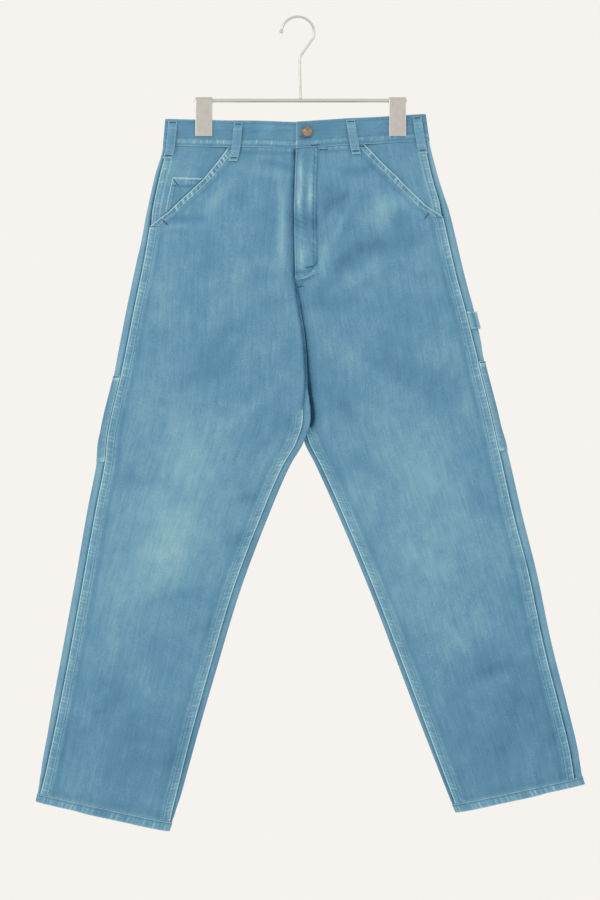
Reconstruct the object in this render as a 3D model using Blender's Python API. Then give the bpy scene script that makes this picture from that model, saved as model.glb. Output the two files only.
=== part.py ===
"""Blue carpenter jeans hung flat from a clip hanger, one solid for each sewn piece.

Every length is in millimetres until a mesh is made. The origin is the inside top of
the hanger's hook, the front faces -Y and +Z is up. The cloth is one skin, worked out
from a table of stations down each side: a station is a straight line across the side,
from its outer edge to its inner one, with the half depth of the hollow there. Each
panel is a wall under that skin, and each piece on a panel is made from the panel's
own points, moved out.
"""

import math

import bmesh
import bpy
import numpy as np
from mathutils import Vector

MM = 0.001

# Cloth sizes
WALL = 1.4
BAND_OUT = 0.5
BAND_IN = 1.9
HEM_OUT = 0.6
HEM_IN = 2.4
GAP = 0.3
SEAM = 0.2
BEARER_WALL = 1.0
EDGE_WALL = 1.0
FELL_WALL = 0.8
FLY_WALL = 1.2
PATCH_WALL = 1.4
STRAP_WALL = 1.6
LOOP_WALL = 1.6
LOOP_WIDTH = 14.0
LOOP_CLEAR = 0.6
LOOP_STAND_OFF = 2.6
STRAP_STAND_OFF = 3.4
EDGE_WIDTH = 11.5
LAP_LENGTH = 36.0
HEM_DROP_BACK = 2.5
LAP_CROSSES = (26.0, 9.0)
PATCH_INSET = 0.8
STRAP_INSET = 5.0
FELL_END = 0.6
BAND_CLEAR = 0.3
FLY_CLEAR = 0.7

# Where columns of cloth lie: in from the two edges of a back, how many go over it, and
# the shares of the way over it where the patch pockets start and end
BACK_NEAR = 6.0
BACK_FAR = 9.0
BACK_STEPS = 9
BACK_SHARES = [(1.0 - math.cos(math.pi * k / BACK_STEPS)) / 2 for k in range(BACK_STEPS + 1)]
TOOL_POCKET_SHARE = 0.3
SEAT_POCKET_SHARE = 0.85
FIELD_COLUMNS = 7
STRIP_INNER_SHARE = 0.35
HEM_STEPS = 11

# A pocket bearer: how much of it shows at most, and how it goes down beneath the front
BEARER_FIRST = 20.0
BEARER_CLEAR = 1.5
BEARER_BENEATH = 14.0
BEARER_SINKS = (30.0, 4.0)

# Shape of a cross-section: a lens with rounded sides
OUTER_ROUNDNESS = 2.4
LAP_FROM = 0.6
LAP_FULL = 0.95
TIP_RADIUS = 3.2

# Hanger sizes
CLIP_X = 150.0
CLIP_FLAT = 28.0
CLIP_FREE = 84.0
CLIP_PINCH = 0.62
HANGER_X = 5.0
WIRE = 2.0
HOOK_RADIUS = 25.4
HOOK_TIP_ANGLE = 170.0
HOOK_SIDE_ANGLE = -16.0
HOOK_NECK = (3.3, -61.2)
HOOK_BALL = 3.2
BAR_RADIUS = 3.0
BAR_LENGTH = 330.0
BAR_Z = -128.0
CLIP_WIDTH = 26.0
CLIP_PLATE = 1.5
CLIP_JAW_GAP = 5.7
CLIP_BOTTOM = -184.0

# Button
BUTTON_PLACE = (14.7, -178.0)
BUTTON_RADIUS = 8.5
BUTTON_HEIGHT = 3.2
BUTTON_ROW_SHARE = 0.6
BUTTON_SEAT_SHIFT = 2.6

# The hook's ball, as shares of its radius along its first points
BALL_PROFILE = (0.45, 0.87, 1.0, 0.87, 0.63)
HOOK_X = 0.5

# Belt loops: face (-1 front, +1 back), side, middle in from the outer edge, how far it
# goes down below the waistband's seam, and how far its foot stands off. The one at the
# centre back is measured from the other edge.
LOOP_COLUMNS = ("name", "face", "side", "place", "below", "foot_lift")
LOOPS = (
    ("front_right", -1, "right", 114.0, 21.5, 2.4),
    ("side_right", -1, "right", 12.0, 19.5, 0.6),
    ("front_left", -1, "left", 117.5, 15.5, 2.4),
    ("side_left", -1, "left", 14.0, 19.0, 0.6),
    ("back_right", 1, "right", 95.0, 16.0, 1.8),
    ("back_left", 1, "left", 95.0, 16.0, 1.8),
)
CENTRE_LOOP_FROM_SEAM = 8.5
CENTRE_LOOP_BELOW = 16.0
CENTRE_LOOP_FOOT = 0.6

COLUMNS = (
    "name", "outer_x", "outer_z", "inner_x", "inner_z", "depth", "outseam", "mouth",
    "inseam", "strip", "closed", "roundness", "lap", "rows",
)

# The wearer's right side, at -X. Distances are in from the outer or inner edge, mouth is
# where the front panel starts, strip is the width of its last column, closed says how far
# front and back meet at the inner edge, lap moves a leg forward or back to pass the other
# one, and rows counts the rows of cloth down to the next station.
RIGHT = (
    ("band", -204.6, -156.6, -2.8, -162.0, 12.0, 6.0, 101.0, 0.0, 11.0, 0.0, 2.4, 0.0, 2),
    ("waist", -208.5, -199.0, -3.0, -204.0, 13.0, 6.0, 101.0, 0.0, 11.0, 0.0, 2.4, 0.0, 2),
    ("coin", -222.0, -248.0, -4.4, -251.0, 17.0, 8.0, 78.0, 0.0, 11.0, 0.0, 2.4, 0.0, 3),
    ("pouch", -234.0, -302.0, -5.4, -305.0, 20.0, 9.0, 35.0, 0.0, 11.0, 0.0, 2.4, 0.0, 1),
    ("corner", -238.0, -324.0, -5.2, -329.0, 21.0, 10.0, 10.0, 0.0, 11.0, 0.0, 2.4, 0.0, 3),
    ("fly_foot", -256.5, -411.0, -4.2, -408.0, 24.0, 13.0, 13.0, 0.0, 11.0, 0.0, 2.4, 0.95, 1),
    ("strap", -265.0, -451.0, 1.2, -453.0, 24.0, 13.0, 13.0, 0.0, 11.0, 0.15, 2.2, 1.4, 1),
    ("seat", -272.6, -490.0, 7.5, -491.0, 23.0, 13.0, 13.0, 0.0, 11.0, 0.5, 1.8, 2.2, 3),
    ("crotch", -285.0, -555.0, 13.6, -555.0, 21.0, 12.0, 12.0, 1.5, 11.0, 1.0, 1.4, 4.2, 3),
    ("tip", -299.0, -614.0, 21.0, -620.0, 19.0, 12.0, 12.0, 4.0, 11.0, 1.0, 1.6, 6.2, 2),
    ("fork", -307.0, -651.0, 9.3, -659.0, 18.0, 13.0, 13.0, 12.0, 11.0, 1.0, 1.8, 5.2, 1),
    ("pouch_foot", -311.5, -688.0, -11.0, -694.0, 17.0, 14.0, 14.0, 12.0, 11.0, 1.0, 2.0, 3.2, 2),
    ("thigh", -326.0, -763.0, -45.0, -773.0, 17.0, 14.0, 14.0, 12.0, 11.0, 1.0, 2.4, 0.0, 3),
    ("knee", -343.0, -863.0, -88.0, -887.0, 17.0, 13.0, 13.0, 12.0, 11.0, 1.0, 2.4, 0.0, 3),
    ("shin", -362.0, -967.0, -122.0, -998.0, 16.0, 13.0, 13.0, 11.0, 11.0, 1.0, 2.4, 0.0, 3),
    ("calf", -380.0, -1066.0, -153.0, -1105.0, 15.0, 12.0, 12.0, 10.0, 11.0, 1.0, 2.4, 0.0, 3),
    ("ankle", -396.5, -1159.0, -179.0, -1200.0, 14.0, 9.0, 9.0, 8.0, 11.0, 1.0, 2.4, 0.0, 2),
    ("cuff", -402.7, -1201.0, -194.0, -1246.0, 14.0, 5.0, 5.0, 4.0, 11.0, 1.0, 2.4, 0.0, 2),
    ("hem", -405.5, -1214.0, -198.0, -1260.0, 14.0, 4.0, 4.0, 3.0, 11.0, 1.0, 2.4, 0.0, 0),
)

# The wearer's left side, at +X
LEFT = (
    ("band", 198.4, -148.8, -2.4, -162.0, 12.0, 8.0, 101.0, 0.0, 33.0, 0.0, 2.4, 0.0, 2),
    ("waist", 204.6, -190.6, -2.6, -204.0, 13.0, 8.0, 101.0, 0.0, 33.0, 0.0, 2.4, 0.0, 2),
    ("coin", 217.8, -245.0, -4.0, -251.0, 17.0, 10.0, 64.0, 0.0, 33.0, 0.0, 2.4, 0.0, 3),
    ("pouch", 232.5, -290.0, -5.0, -305.0, 20.0, 12.0, 35.0, 0.0, 33.0, 0.0, 2.4, 0.0, 1),
    ("corner", 237.6, -308.5, -4.8, -329.0, 21.0, 13.0, 13.0, 0.0, 33.0, 0.0, 2.4, 0.0, 3),
    ("fly_foot", 262.7, -411.0, -3.6, -408.0, 24.0, 15.0, 15.0, 0.0, 33.0, 0.0, 2.4, 0.95, 1),
    ("strap", 273.6, -451.0, 1.7, -453.0, 24.0, 15.0, 15.0, 0.0, 28.0, 0.15, 2.2, 1.4, 1),
    ("seat", 281.3, -485.0, 8.0, -491.0, 23.0, 14.0, 14.0, 0.0, 22.0, 0.5, 1.8, 2.2, 3),
    ("crotch", 290.0, -532.0, 14.1, -555.0, 21.0, 11.0, 11.0, 1.5, 16.0, 1.0, 1.4, 4.2, 3),
    ("tip", 310.0, -611.0, 2.0, -620.0, 19.0, 12.0, 12.0, 3.0, 12.0, 1.0, 1.6, 6.2, 2),
    ("fork", 320.0, -651.0, 11.0, -659.0, 18.0, 13.0, 13.0, 8.0, 11.0, 1.0, 1.8, 5.2, 1),
    ("pouch_foot", 325.5, -670.0, 27.0, -691.0, 17.0, 14.0, 14.0, 8.0, 11.0, 1.0, 2.0, 3.2, 2),
    ("thigh", 347.0, -762.0, 64.0, -773.0, 17.0, 15.0, 15.0, 8.0, 11.0, 1.0, 2.4, 0.0, 3),
    ("knee", 372.0, -863.0, 111.6, -887.0, 17.0, 14.0, 14.0, 8.0, 11.0, 1.0, 2.4, 0.0, 3),
    ("shin", 393.7, -967.0, 154.0, -998.0, 16.0, 14.0, 14.0, 8.0, 11.0, 1.0, 2.4, 0.0, 3),
    ("calf", 417.7, -1062.0, 194.5, -1104.0, 15.0, 14.0, 14.0, 7.0, 11.0, 1.0, 2.4, 0.0, 3),
    ("ankle", 434.8, -1133.0, 224.0, -1180.0, 14.0, 14.0, 14.0, 6.0, 11.0, 1.0, 2.4, 0.0, 2),
    ("cuff", 441.7, -1175.0, 239.5, -1218.0, 14.0, 14.0, 14.0, 5.0, 11.0, 1.0, 2.4, 0.0, 2),
    ("hem", 445.6, -1187.0, 245.0, -1231.0, 14.0, 14.0, 14.0, 4.0, 11.0, 1.0, 2.4, 0.0, 0),
)

# The broadest folds: which face (-1 front, +1 back), the middle of the fold, its length
# along its own line, its width across it, the line's slope in degrees, and how far it
# stands out (a trough is below zero)
FOLD_COLUMNS = ("face", "x", "z", "length", "width", "slope", "height")
FOLDS = (
    (-1, -150.0, -345.0, 150.0, 45.0, 4.0, -1.6),
    (-1, -95.0, -520.0, 230.0, 60.0, 32.0, -1.8),
    (-1, -130.0, -620.0, 260.0, 70.0, 26.0, 1.8),
    (-1, 110.0, -520.0, 220.0, 60.0, -30.0, -1.6),
    (-1, 160.0, -640.0, 260.0, 70.0, -24.0, 1.6),
    (-1, -235.0, -810.0, 200.0, 80.0, 12.0, 2.0),
    (-1, 245.0, -800.0, 200.0, 80.0, -12.0, 2.0),
    (-1, -270.0, -1010.0, 220.0, 90.0, 20.0, -1.6),
    (-1, 290.0, -1000.0, 220.0, 90.0, -20.0, -1.6),
    (1, -110.0, -560.0, 260.0, 70.0, 28.0, -2.0),
    (1, 120.0, -560.0, 260.0, 70.0, -28.0, -2.0),
    (1, -240.0, -880.0, 220.0, 80.0, -14.0, 1.8),
    (1, 250.0, -880.0, 220.0, 80.0, 14.0, 1.8),
)

# Colours, roughness and metal, in linear values
TWILL = ("twill", (0.10, 0.26, 0.40), 0.9, 0.0)
PALE_TWILL = ("rubbed_twill", (0.20, 0.38, 0.50), 0.9, 0.0)
BRASS = ("old_metal", (0.32, 0.24, 0.20), 0.4, 1.0)
STEEL = ("steel", (0.60, 0.60, 0.57), 0.3, 1.0)


def clear_scene():
    """Take away whatever the file opened with."""
    for thing in list(bpy.data.objects):
        bpy.data.objects.remove(thing, do_unlink=True)


def finish(kind):
    """The material of a kind, made the first time it is asked for."""
    name, colour, roughness, metal = kind
    made = bpy.data.materials.get(name)
    if made is None:
        made = bpy.data.materials.new(name)
        made.use_nodes = True
        shader = made.node_tree.nodes["Principled BSDF"]
        shader.inputs["Base Color"].default_value = (*colour, 1.0)
        shader.inputs["Roughness"].default_value = roughness
        shader.inputs["Metallic"].default_value = metal
    return made


def ease(low, high, value):
    """0 below low, 1 above high, and smooth between them."""
    t = min(max((value - low) / (high - low), 0.0), 1.0)
    return t * t * (3.0 - 2.0 * t)


class Curve:
    """A curve through knots that never swings past them."""

    def __init__(self, knots, values):
        self.knots = np.asarray(knots, float)
        self.values = np.asarray(values, float)
        self.steps = np.diff(self.knots)
        rise = np.diff(self.values) / self.steps
        slopes = np.zeros(len(self.values))
        slopes[0] = rise[0]
        slopes[-1] = rise[-1]
        for i in range(1, len(rise)):
            if rise[i - 1] * rise[i] > 0.0:
                slopes[i] = 2.0 * rise[i - 1] * rise[i] / (rise[i - 1] + rise[i])
        self.slopes = slopes

    def at(self, knot):
        last = len(self.steps) - 1
        i = min(max(int(np.searchsorted(self.knots, knot, side="right")) - 1, 0), last)
        h = self.steps[i]
        t = (knot - self.knots[i]) / h
        start = (1.0 + 2.0 * t) * (1.0 - t) ** 2 * self.values[i]
        start += t * (1.0 - t) ** 2 * h * self.slopes[i]
        end = t * t * (3.0 - 2.0 * t) * self.values[i + 1]
        end += t * t * (t - 1.0) * h * self.slopes[i + 1]
        return start + end


class Side:
    """One side of the garment: its stations, and the skin between them.

    sign is -1 for the wearer's right and +1 for the left. A row is a place down the side,
    counted in rows of cloth. q is the distance round from the outer edge: below zero it
    runs in over the front, above zero in over the back, and past the width it has come
    round the inner edge on to the front again.
    """

    def __init__(self, sign, table):
        self.sign = sign
        stations = [dict(zip(COLUMNS, line)) for line in table]
        starts = np.cumsum([0] + [s["rows"] for s in stations[:-1]])
        self.rows = {s["name"]: int(r) for s, r in zip(stations, starts)}
        self.curves = {}
        for column in COLUMNS[1:-1]:
            self.curves[column] = Curve(starts, [s[column] for s in stations])
        self.mouths = (starts, [s["mouth"] for s in stations])

    def value(self, column, row):
        return self.curves[column].at(row)

    def mouth(self, row):
        """Where the front panel starts: straight down the pocket, then on the outseam."""
        if row >= self.rows["corner"]:
            return self.value("outseam", row)
        return float(np.interp(row, *self.mouths))

    def width(self, row):
        across = self.value("inner_x", row) - self.value("outer_x", row)
        down = self.value("inner_z", row) - self.value("outer_z", row)
        return math.hypot(across, down)

    def half_depth(self, row, x, t):
        """Half the depth of the hollow at t, 0 at the outer edge and 1 at the inner."""
        off = 2.0 * t - 1.0
        if off < 0.0:
            lens = (1.0 - min(-off, 1.0) ** OUTER_ROUNDNESS) ** (1.0 / OUTER_ROUNDNESS)
        else:
            power = self.value("roundness", row)
            shut = self.value("closed", row) * min(off, 1.0) ** power
            lens = max(1.0 - shut, 0.0) ** (1.0 / power)
        near_clip = 1.0 - ease(CLIP_FLAT, CLIP_FREE, abs(abs(x - HANGER_X) - CLIP_X))
        up_high = 1.0 - ease(self.rows["waist"], self.rows["pouch"], row)
        half = self.value("depth", row) * lens * (1.0 - CLIP_PINCH * near_clip * up_high)
        inside = min(min(t, 1.0 - t) * self.width(row), TIP_RADIUS)
        return max(half, math.sqrt(TIP_RADIUS ** 2 - (TIP_RADIUS - inside) ** 2))

    def skin(self, row, q):
        """The point on the skin at a row, q round from the outer edge."""
        wide = self.width(row)
        if q < 0.0:
            face, distance = -1, -q
        elif q <= wide:
            face, distance = 1, q
        else:
            face, distance = -1, 2.0 * wide - q
        t = distance / wide
        x = self.value("outer_x", row) * (1.0 - t) + self.value("inner_x", row) * t
        z = self.value("outer_z", row) * (1.0 - t) + self.value("inner_z", row) * t
        lens = self.half_depth(row, x, t)
        y = self.sign * self.value("lap", row) * ease(LAP_FROM, LAP_FULL, t) + face * lens
        edge = min(1.0, lens / 10.0)
        return np.array((x, y + face * edge * fold_height(face, x, z), z))

    def normal(self, row, q):
        """The way out of the cloth at a row, q round from the outer edge."""
        wide = self.width(row)
        low, high = q - 0.4, q + 0.4
        if self.value("closed", row) < 0.999 or q < 0.0:
            low, high = max(low, -wide), min(high, wide)
        round_way = self.skin(row, high) - self.skin(row, low)
        top, bottom = max(row - 0.05, 0.0), min(row + 0.05, float(self.rows["hem"]))
        share = q / wide
        lower = self.skin(bottom, share * self.width(bottom))
        down_way = lower - self.skin(top, share * self.width(top))
        out = -self.sign * np.cross(round_way, down_way)
        return out / np.linalg.norm(out)

    def place(self, row, q, out=0.0):
        """The skin's point, moved out along its normal."""
        return self.skin(row, q) + self.normal(row, q) * out


def fold_height(face, x, z):
    """How far the broad folds move one face of the cloth at a place."""
    total = 0.0
    for line in FOLDS:
        fold = dict(zip(FOLD_COLUMNS, line))
        if fold["face"] != face:
            continue
        slope = math.radians(fold["slope"])
        along = (x - fold["x"]) * math.cos(slope) + (z - fold["z"]) * math.sin(slope)
        across = (z - fold["z"]) * math.cos(slope) - (x - fold["x"]) * math.sin(slope)
        spread = (2.0 * along / fold["length"]) ** 2 + (2.0 * across / fold["width"]) ** 2
        total += fold["height"] * math.exp(-spread)
    return total


def solid(name, kind, points, triangles):
    """One object from its points in millimetres and its triangles."""
    mesh = bpy.data.meshes.new(name)
    shape = bmesh.new()
    corners = [shape.verts.new(Vector(p) * MM) for p in points]
    for triangle in triangles:
        shape.faces.new([corners[i] for i in triangle])
    bmesh.ops.recalc_face_normals(shape, faces=shape.faces)
    shape.to_mesh(mesh)
    shape.free()
    mesh.shade_smooth()
    mesh.set_sharp_from_angle(angle=math.radians(40.0))
    mesh.materials.append(finish(kind))
    made = bpy.data.objects.new(name, mesh)
    bpy.context.scene.collection.objects.link(made)
    return made


def wall(name, kind, outer, inner, ring=False):
    """A wall of cloth between two grids of points, with its rim. A ring joins its ends."""
    rows, columns = outer.shape[:2]
    under = rows * columns
    triangles = []

    def quad(a, b, c, d):
        triangles.append((a, b, c))
        triangles.append((a, c, d))

    spans = columns if ring else columns - 1
    for i in range(rows):
        for j in range(spans):
            here, there = i * columns + j, i * columns + (j + 1) % columns
            if i + 1 < rows:
                quad(here, there, there + columns, here + columns)
                quad(under + here, under + here + columns, under + there + columns, under + there)
            if i in (0, rows - 1):
                quad(here, under + here, under + there, there)
    if not ring:
        for i in range(rows - 1):
            for edge in (i * columns, i * columns + columns - 1):
                quad(edge, edge + columns, under + edge + columns, under + edge)
    points = np.concatenate((outer.reshape(-1, 3), inner.reshape(-1, 3)))
    return solid(name, kind, points, triangles)


class Panel:
    """A grid of places on one side, from which a panel and what lies on it are made."""

    def __init__(self, side, rows, places):
        self.side = side
        self.rows = list(rows)
        self.places = [places(row) for row in self.rows]

    def grid(self, out, first=0, last=None, left=0, right=None):
        """Points of the rows and columns asked for, moved out by a length or a function."""
        last = len(self.rows) - 1 if last is None else last
        right = len(self.places[0]) - 1 if right is None else right
        made = []
        for i in range(first, last + 1):
            line = []
            for j in range(left, right + 1):
                move = out(i, j) if callable(out) else out
                line.append(self.side.place(self.rows[i], self.places[i][j], move))
            made.append(line)
        return np.array(made)

    def index(self, station):
        return self.rows.index(self.side.rows[station])


def trim(grid, top=0.0, bottom=0.0):
    """Lower a grid's first row and raise its last, to leave the gap of a seam."""
    grid[0, :, 2] -= top
    grid[-1, :, 2] += bottom
    return grid


def shrink(grid, sides=0.0, top=0.0, bottom=0.0):
    """Draw a grid's border in by a length, along the cloth."""
    made = grid.copy()

    def pull(edge, inside, length):
        way = inside - edge
        size = np.linalg.norm(way, axis=-1, keepdims=True)
        return edge + way / size * length

    if sides:
        made[:, 0] = pull(grid[:, 0], grid[:, 1], sides)
        made[:, -1] = pull(grid[:, -1], grid[:, -2], sides)
    if top:
        made[0] = pull(made[0], made[1], top)
    if bottom:
        made[-1] = pull(made[-1], made[-2], bottom)
    return made


def front_places(side):
    """The columns of a front panel: mouth or outseam, its band, the field, the strip."""

    def places(row):
        wide = side.width(row)
        start = side.mouth(row) + SEAM
        end = wide - side.value("inseam", row) - SEAM
        strip = side.value("strip", row)
        field = np.linspace(start + EDGE_WIDTH, end - strip, FIELD_COLUMNS)
        distances = [start, *field, end - STRIP_INNER_SHARE * strip, end]
        return [-d for d in distances]

    return places


def back_places(side):
    """The columns of a back panel: round the side, over the back, round the inner edge."""

    def places(row):
        wide = side.width(row)
        seam = side.value("outseam", row) - SEAM
        inseam = side.value("inseam", row)
        wrapped = ease(0.95, 1.0, side.value("closed", row))
        over = wide - BACK_FAR - BACK_NEAR
        turn = [BACK_NEAR + over * share for share in BACK_SHARES]
        shut = np.array((-0.8, 0.3 * inseam, inseam - SEAM))
        flat = np.array((-6.0, -3.0, -SEAM))
        last = wide + flat * (1.0 - wrapped) + shut * wrapped
        return [-seam, -0.4 * seam, 0.0, *turn, *last]

    return places


def back_column(share):
    """The back panel's column that lies nearest a share of the way over the back."""
    return 3 + int(np.argmin([abs(s - share) for s in BACK_SHARES]))


def bearer_places(side):
    """The columns of a pocket bearer: outseam, the part that shows, the part beneath."""

    def places(row):
        seam = side.value("outseam", row) + SEAM
        mouth = max(side.mouth(row), seam + 3.0)
        last = mouth - BEARER_CLEAR
        first = seam + min(BEARER_FIRST, 0.85 * (last - seam))
        return [-d for d in (seam, *np.linspace(first, last, 4), mouth + BEARER_BENEATH)]

    return places


def bearer_depth(panel):
    """A bearer lies beneath the front panel, and rises to meet the outseam."""

    def depth(i, j):
        mouth = panel.side.mouth(panel.rows[i])
        distance = -panel.places[i][j]
        beneath = ease(*(mouth - d for d in BEARER_SINKS), distance)
        return -(WALL + 2.0 * GAP) * beneath - 0.1

    return depth


def build_panels(side, name):
    """Front and back of one side, the pocket and the bands that lie on them."""
    rows = side.rows
    leg_rows = range(rows["waist"], rows["cuff"] + 1)
    front = Panel(side, leg_rows, front_places(side))
    back = Panel(side, leg_rows, back_places(side))
    for label, panel in (("front_" + name, front), ("back_" + name, back)):
        outer = trim(panel.grid(0.0), SEAM, SEAM)
        inner = trim(panel.grid(-WALL), SEAM, SEAM)
        wall(label, TWILL, outer, inner)

    corner = front.index("corner")
    low, high = GAP, GAP + EDGE_WALL
    outer = trim(front.grid(high, 0, corner, 0, 1), 2 * SEAM)
    inner = trim(front.grid(low, 0, corner, 0, 1), 2 * SEAM)
    wall("pocket_edge_" + name, PALE_TWILL, *(shrink(g, top=BAND_CLEAR) for g in (outer, inner)))

    high = GAP + FELL_WALL
    outer = front.grid(high, corner, None, 0, 1)
    inner = front.grid(low, corner, None, 0, 1)
    outer, inner = (shrink(g, top=FELL_END, bottom=FELL_END) for g in (outer, inner))
    wall("outseam_" + name, PALE_TWILL, outer, inner)
    tip = front.index("tip")
    last = len(front.places[0]) - 1
    outer = front.grid(high, tip, None, last - 2, last)
    inner = front.grid(low, tip, None, last - 2, last)
    wall("inseam_" + name, PALE_TWILL, *(shrink(g, bottom=FELL_END) for g in (outer, inner)))

    bearer_rows = range(rows["waist"], rows["corner"] + 1)
    bearer = Panel(side, bearer_rows, bearer_places(side))
    depth = bearer_depth(bearer)
    outer = trim(bearer.grid(depth), SEAM, SEAM)
    inner = trim(bearer.grid(lambda i, j: depth(i, j) - BEARER_WALL), SEAM, SEAM)
    wall("bearer_" + name, TWILL, outer, inner)
    return front, back, bearer


def build_fly(front):
    """The fly, over the first columns of the left front beside the centre seam."""
    foot = front.index("fly_foot")
    last = len(front.places[0]) - 1
    outer = front.grid(GAP + FLY_WALL, 0, foot, last - 2, last)
    inner = front.grid(GAP, 0, foot, last - 2, last)
    wall("fly", TWILL, *(shrink(g, top=FLY_CLEAR) for g in (outer, inner)))


def build_coin_pocket(bearer):
    """The coin pocket, on the part of the right bearer that shows."""
    depth = bearer_depth(bearer)
    top, foot = bearer.index("coin"), bearer.index("pouch")
    outer = bearer.grid(lambda i, j: depth(i, j) + GAP + BEARER_WALL, top, foot, 1, 4)
    inner = bearer.grid(lambda i, j: depth(i, j) + GAP, top, foot, 1, 4)
    wall("coin_pocket", PALE_TWILL, *(shrink(g, sides=PATCH_INSET) for g in (outer, inner)))


def build_patch(name, back, top, foot, left, right):
    """A patch pocket on a back panel, between two rows and two columns."""
    outer = back.grid(GAP + PATCH_WALL, top, foot, left, right)
    inner = back.grid(GAP, top, foot, left, right)
    wall(name, TWILL, *(shrink(g, sides=PATCH_INSET) for g in (outer, inner)))


def build_hammer_loop(back):
    """The strap round the left side, slack over the outer edge and sewn at its ends."""
    top, foot = back.index("strap"), back.index("seat")
    right = back_column(TOOL_POCKET_SHARE)

    def lift(i, j):
        return GAP + STRAP_STAND_OFF * math.sin(math.pi * j / right) ** 0.6

    outer = back.grid(lambda i, j: lift(i, j) + STRAP_WALL, top, foot, 0, right)
    inner = back.grid(lift, top, foot, 0, right)
    outer, inner = (shrink(g, top=STRAP_INSET, bottom=STRAP_INSET) for g in (outer, inner))
    wall("hammer_loop", TWILL, outer, inner)


def build_waistband(right, left):
    """One strip from the left end at centre front, round the back, to the lap beneath."""
    shares = [0.0, 0.012, 0.04, 0.09, *np.linspace(0.15, 0.95, 13), 1.0]
    rows = np.linspace(0.0, right.rows["waist"], 3)
    outer, inner = [], []
    for row in rows:
        left_wide, right_wide = left.width(row), right.width(row)
        spots = [(left, -left_wide * (1.0 - s), 0.0) for s in shares]
        spots += [(left, left_wide * s, 0.0) for s in shares[1:-1]]
        spots += [(left, left_wide - 1.0, 0.0), (right, right_wide - 1.0, 0.0)]
        spots += [(right, right_wide * (1.0 - s), 0.0) for s in shares[1:]]
        beneath = BAND_OUT + BAND_IN + GAP + 0.1
        spots += [(right, -right_wide * s, 0.0) for s in shares[1:-3]]
        tuck, under = LAP_CROSSES
        spots += [(right, -(right_wide - tuck), 0.0), (right, -(right_wide - under), -beneath)]
        lap = np.linspace(0.0, LAP_LENGTH, 4)
        spots += [(left, -(left_wide - d), -beneath) for d in lap]
        outer.append([s.place(row, q, BAND_OUT + out) for s, q, out in spots])
        inner.append([s.place(row, q, out - BAND_IN) for s, q, out in spots])
    outer = trim(np.array(outer), 0.0, SEAM)
    inner = trim(np.array(inner), 0.0, SEAM)
    wall("waistband", TWILL, outer, inner)


def build_belt_loop(name, spots, below, foot_lift):
    """A belt loop over the waistband: spots gives its columns as side and q at a row."""
    side = spots(0.0)[0][0]
    waist = side.rows["waist"]
    drop = side.value("outer_z", waist) - side.value("outer_z", waist + 2)
    foot = waist + 2.0 * below / drop
    profile = (
        (0.12, BAND_OUT + LOOP_CLEAR),
        (0.35, BAND_OUT + LOOP_CLEAR),
        (0.8, BAND_OUT + LOOP_STAND_OFF),
        (1.6, BAND_OUT + LOOP_STAND_OFF),
        (waist + 0.25 * (foot - waist), BAND_OUT + LOOP_STAND_OFF - 0.4),
        (foot - 0.12, foot_lift),
        (foot, foot_lift),
    )
    outer, inner = [], []
    for row, lift in profile:
        outer.append([s.place(row, q, lift + LOOP_WALL) for s, q in spots(row)])
        inner.append([s.place(row, q, lift) for s, q in spots(row)])
    wall(name, PALE_TWILL, np.array(outer), np.array(inner))


def build_belt_loops(right, left):
    """Four loops that show in front and three at the back."""
    half = LOOP_WIDTH / 2
    steps = np.linspace(-half, half, 5)

    def beside(side, face, place):
        return lambda row: [(side, face * (place + s)) for s in steps]

    def at_centre(row):
        return [(right, right.width(row) - CENTRE_LOOP_FROM_SEAM + s) for s in steps]

    for line in LOOPS:
        loop = dict(zip(LOOP_COLUMNS, line))
        side = right if loop["side"] == "right" else left
        spots = beside(side, loop["face"], loop["place"])
        build_belt_loop("belt_loop_" + loop["name"], spots, loop["below"], loop["foot_lift"])
    build_belt_loop("belt_loop_back_centre", at_centre, CENTRE_LOOP_BELOW, CENTRE_LOOP_FOOT)


def build_hem(side, name):
    """The turned end of a leg: a ring three layers thick, the back a little longer."""
    shares = [(1.0 - math.cos(math.pi * k / HEM_STEPS)) / 2 for k in range(HEM_STEPS + 1)]
    rows = np.linspace(side.rows["cuff"], side.rows["hem"], 3)
    outer, inner = [], []
    for row in rows:
        wide = side.width(row)
        down = (row - rows[0]) / (rows[-1] - rows[0])
        spots = [(-wide * s, 0.0) for s in shares]
        spots += [(wide * (1.0 - s), math.sin(math.pi * s) ** 2) for s in shares[1:-1]]
        drop = [np.array((0.0, 0.0, -HEM_DROP_BACK * b * down)) for q, b in spots]
        outer.append([side.place(row, q, HEM_OUT) + d for (q, b), d in zip(spots, drop)])
        inner.append([side.place(row, q, -HEM_IN) + d for (q, b), d in zip(spots, drop)])
    outer, inner = trim(np.array(outer), SEAM), trim(np.array(inner), SEAM)
    wall("hem_" + name, PALE_TWILL, outer, inner, ring=True)


def spun(name, kind, profile, centre, steps=20):
    """A turned piece about the Y axis, from a profile of radius and y."""
    points = [(centre[0], centre[1] + profile[0][1], centre[2])]
    for radius, y in profile[1:-1]:
        for k in range(steps):
            a = 2.0 * math.pi * k / steps
            across, up = radius * math.cos(a), radius * math.sin(a)
            points.append((centre[0] + across, centre[1] + y, centre[2] + up))
    points.append((centre[0], centre[1] + profile[-1][1], centre[2]))
    triangles = []
    rings = len(profile) - 2
    for k in range(steps):
        after = (k + 1) % steps
        triangles.append((0, 1 + k, 1 + after))
        for r in range(rings - 1):
            a, b = 1 + r * steps + k, 1 + r * steps + after
            triangles.append((a, a + steps, b + steps))
            triangles.append((a, b + steps, b))
        end = 1 + (rings - 1) * steps
        triangles.append((len(points) - 1, end + after, end + k))
    return solid(name, kind, points, triangles)


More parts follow.
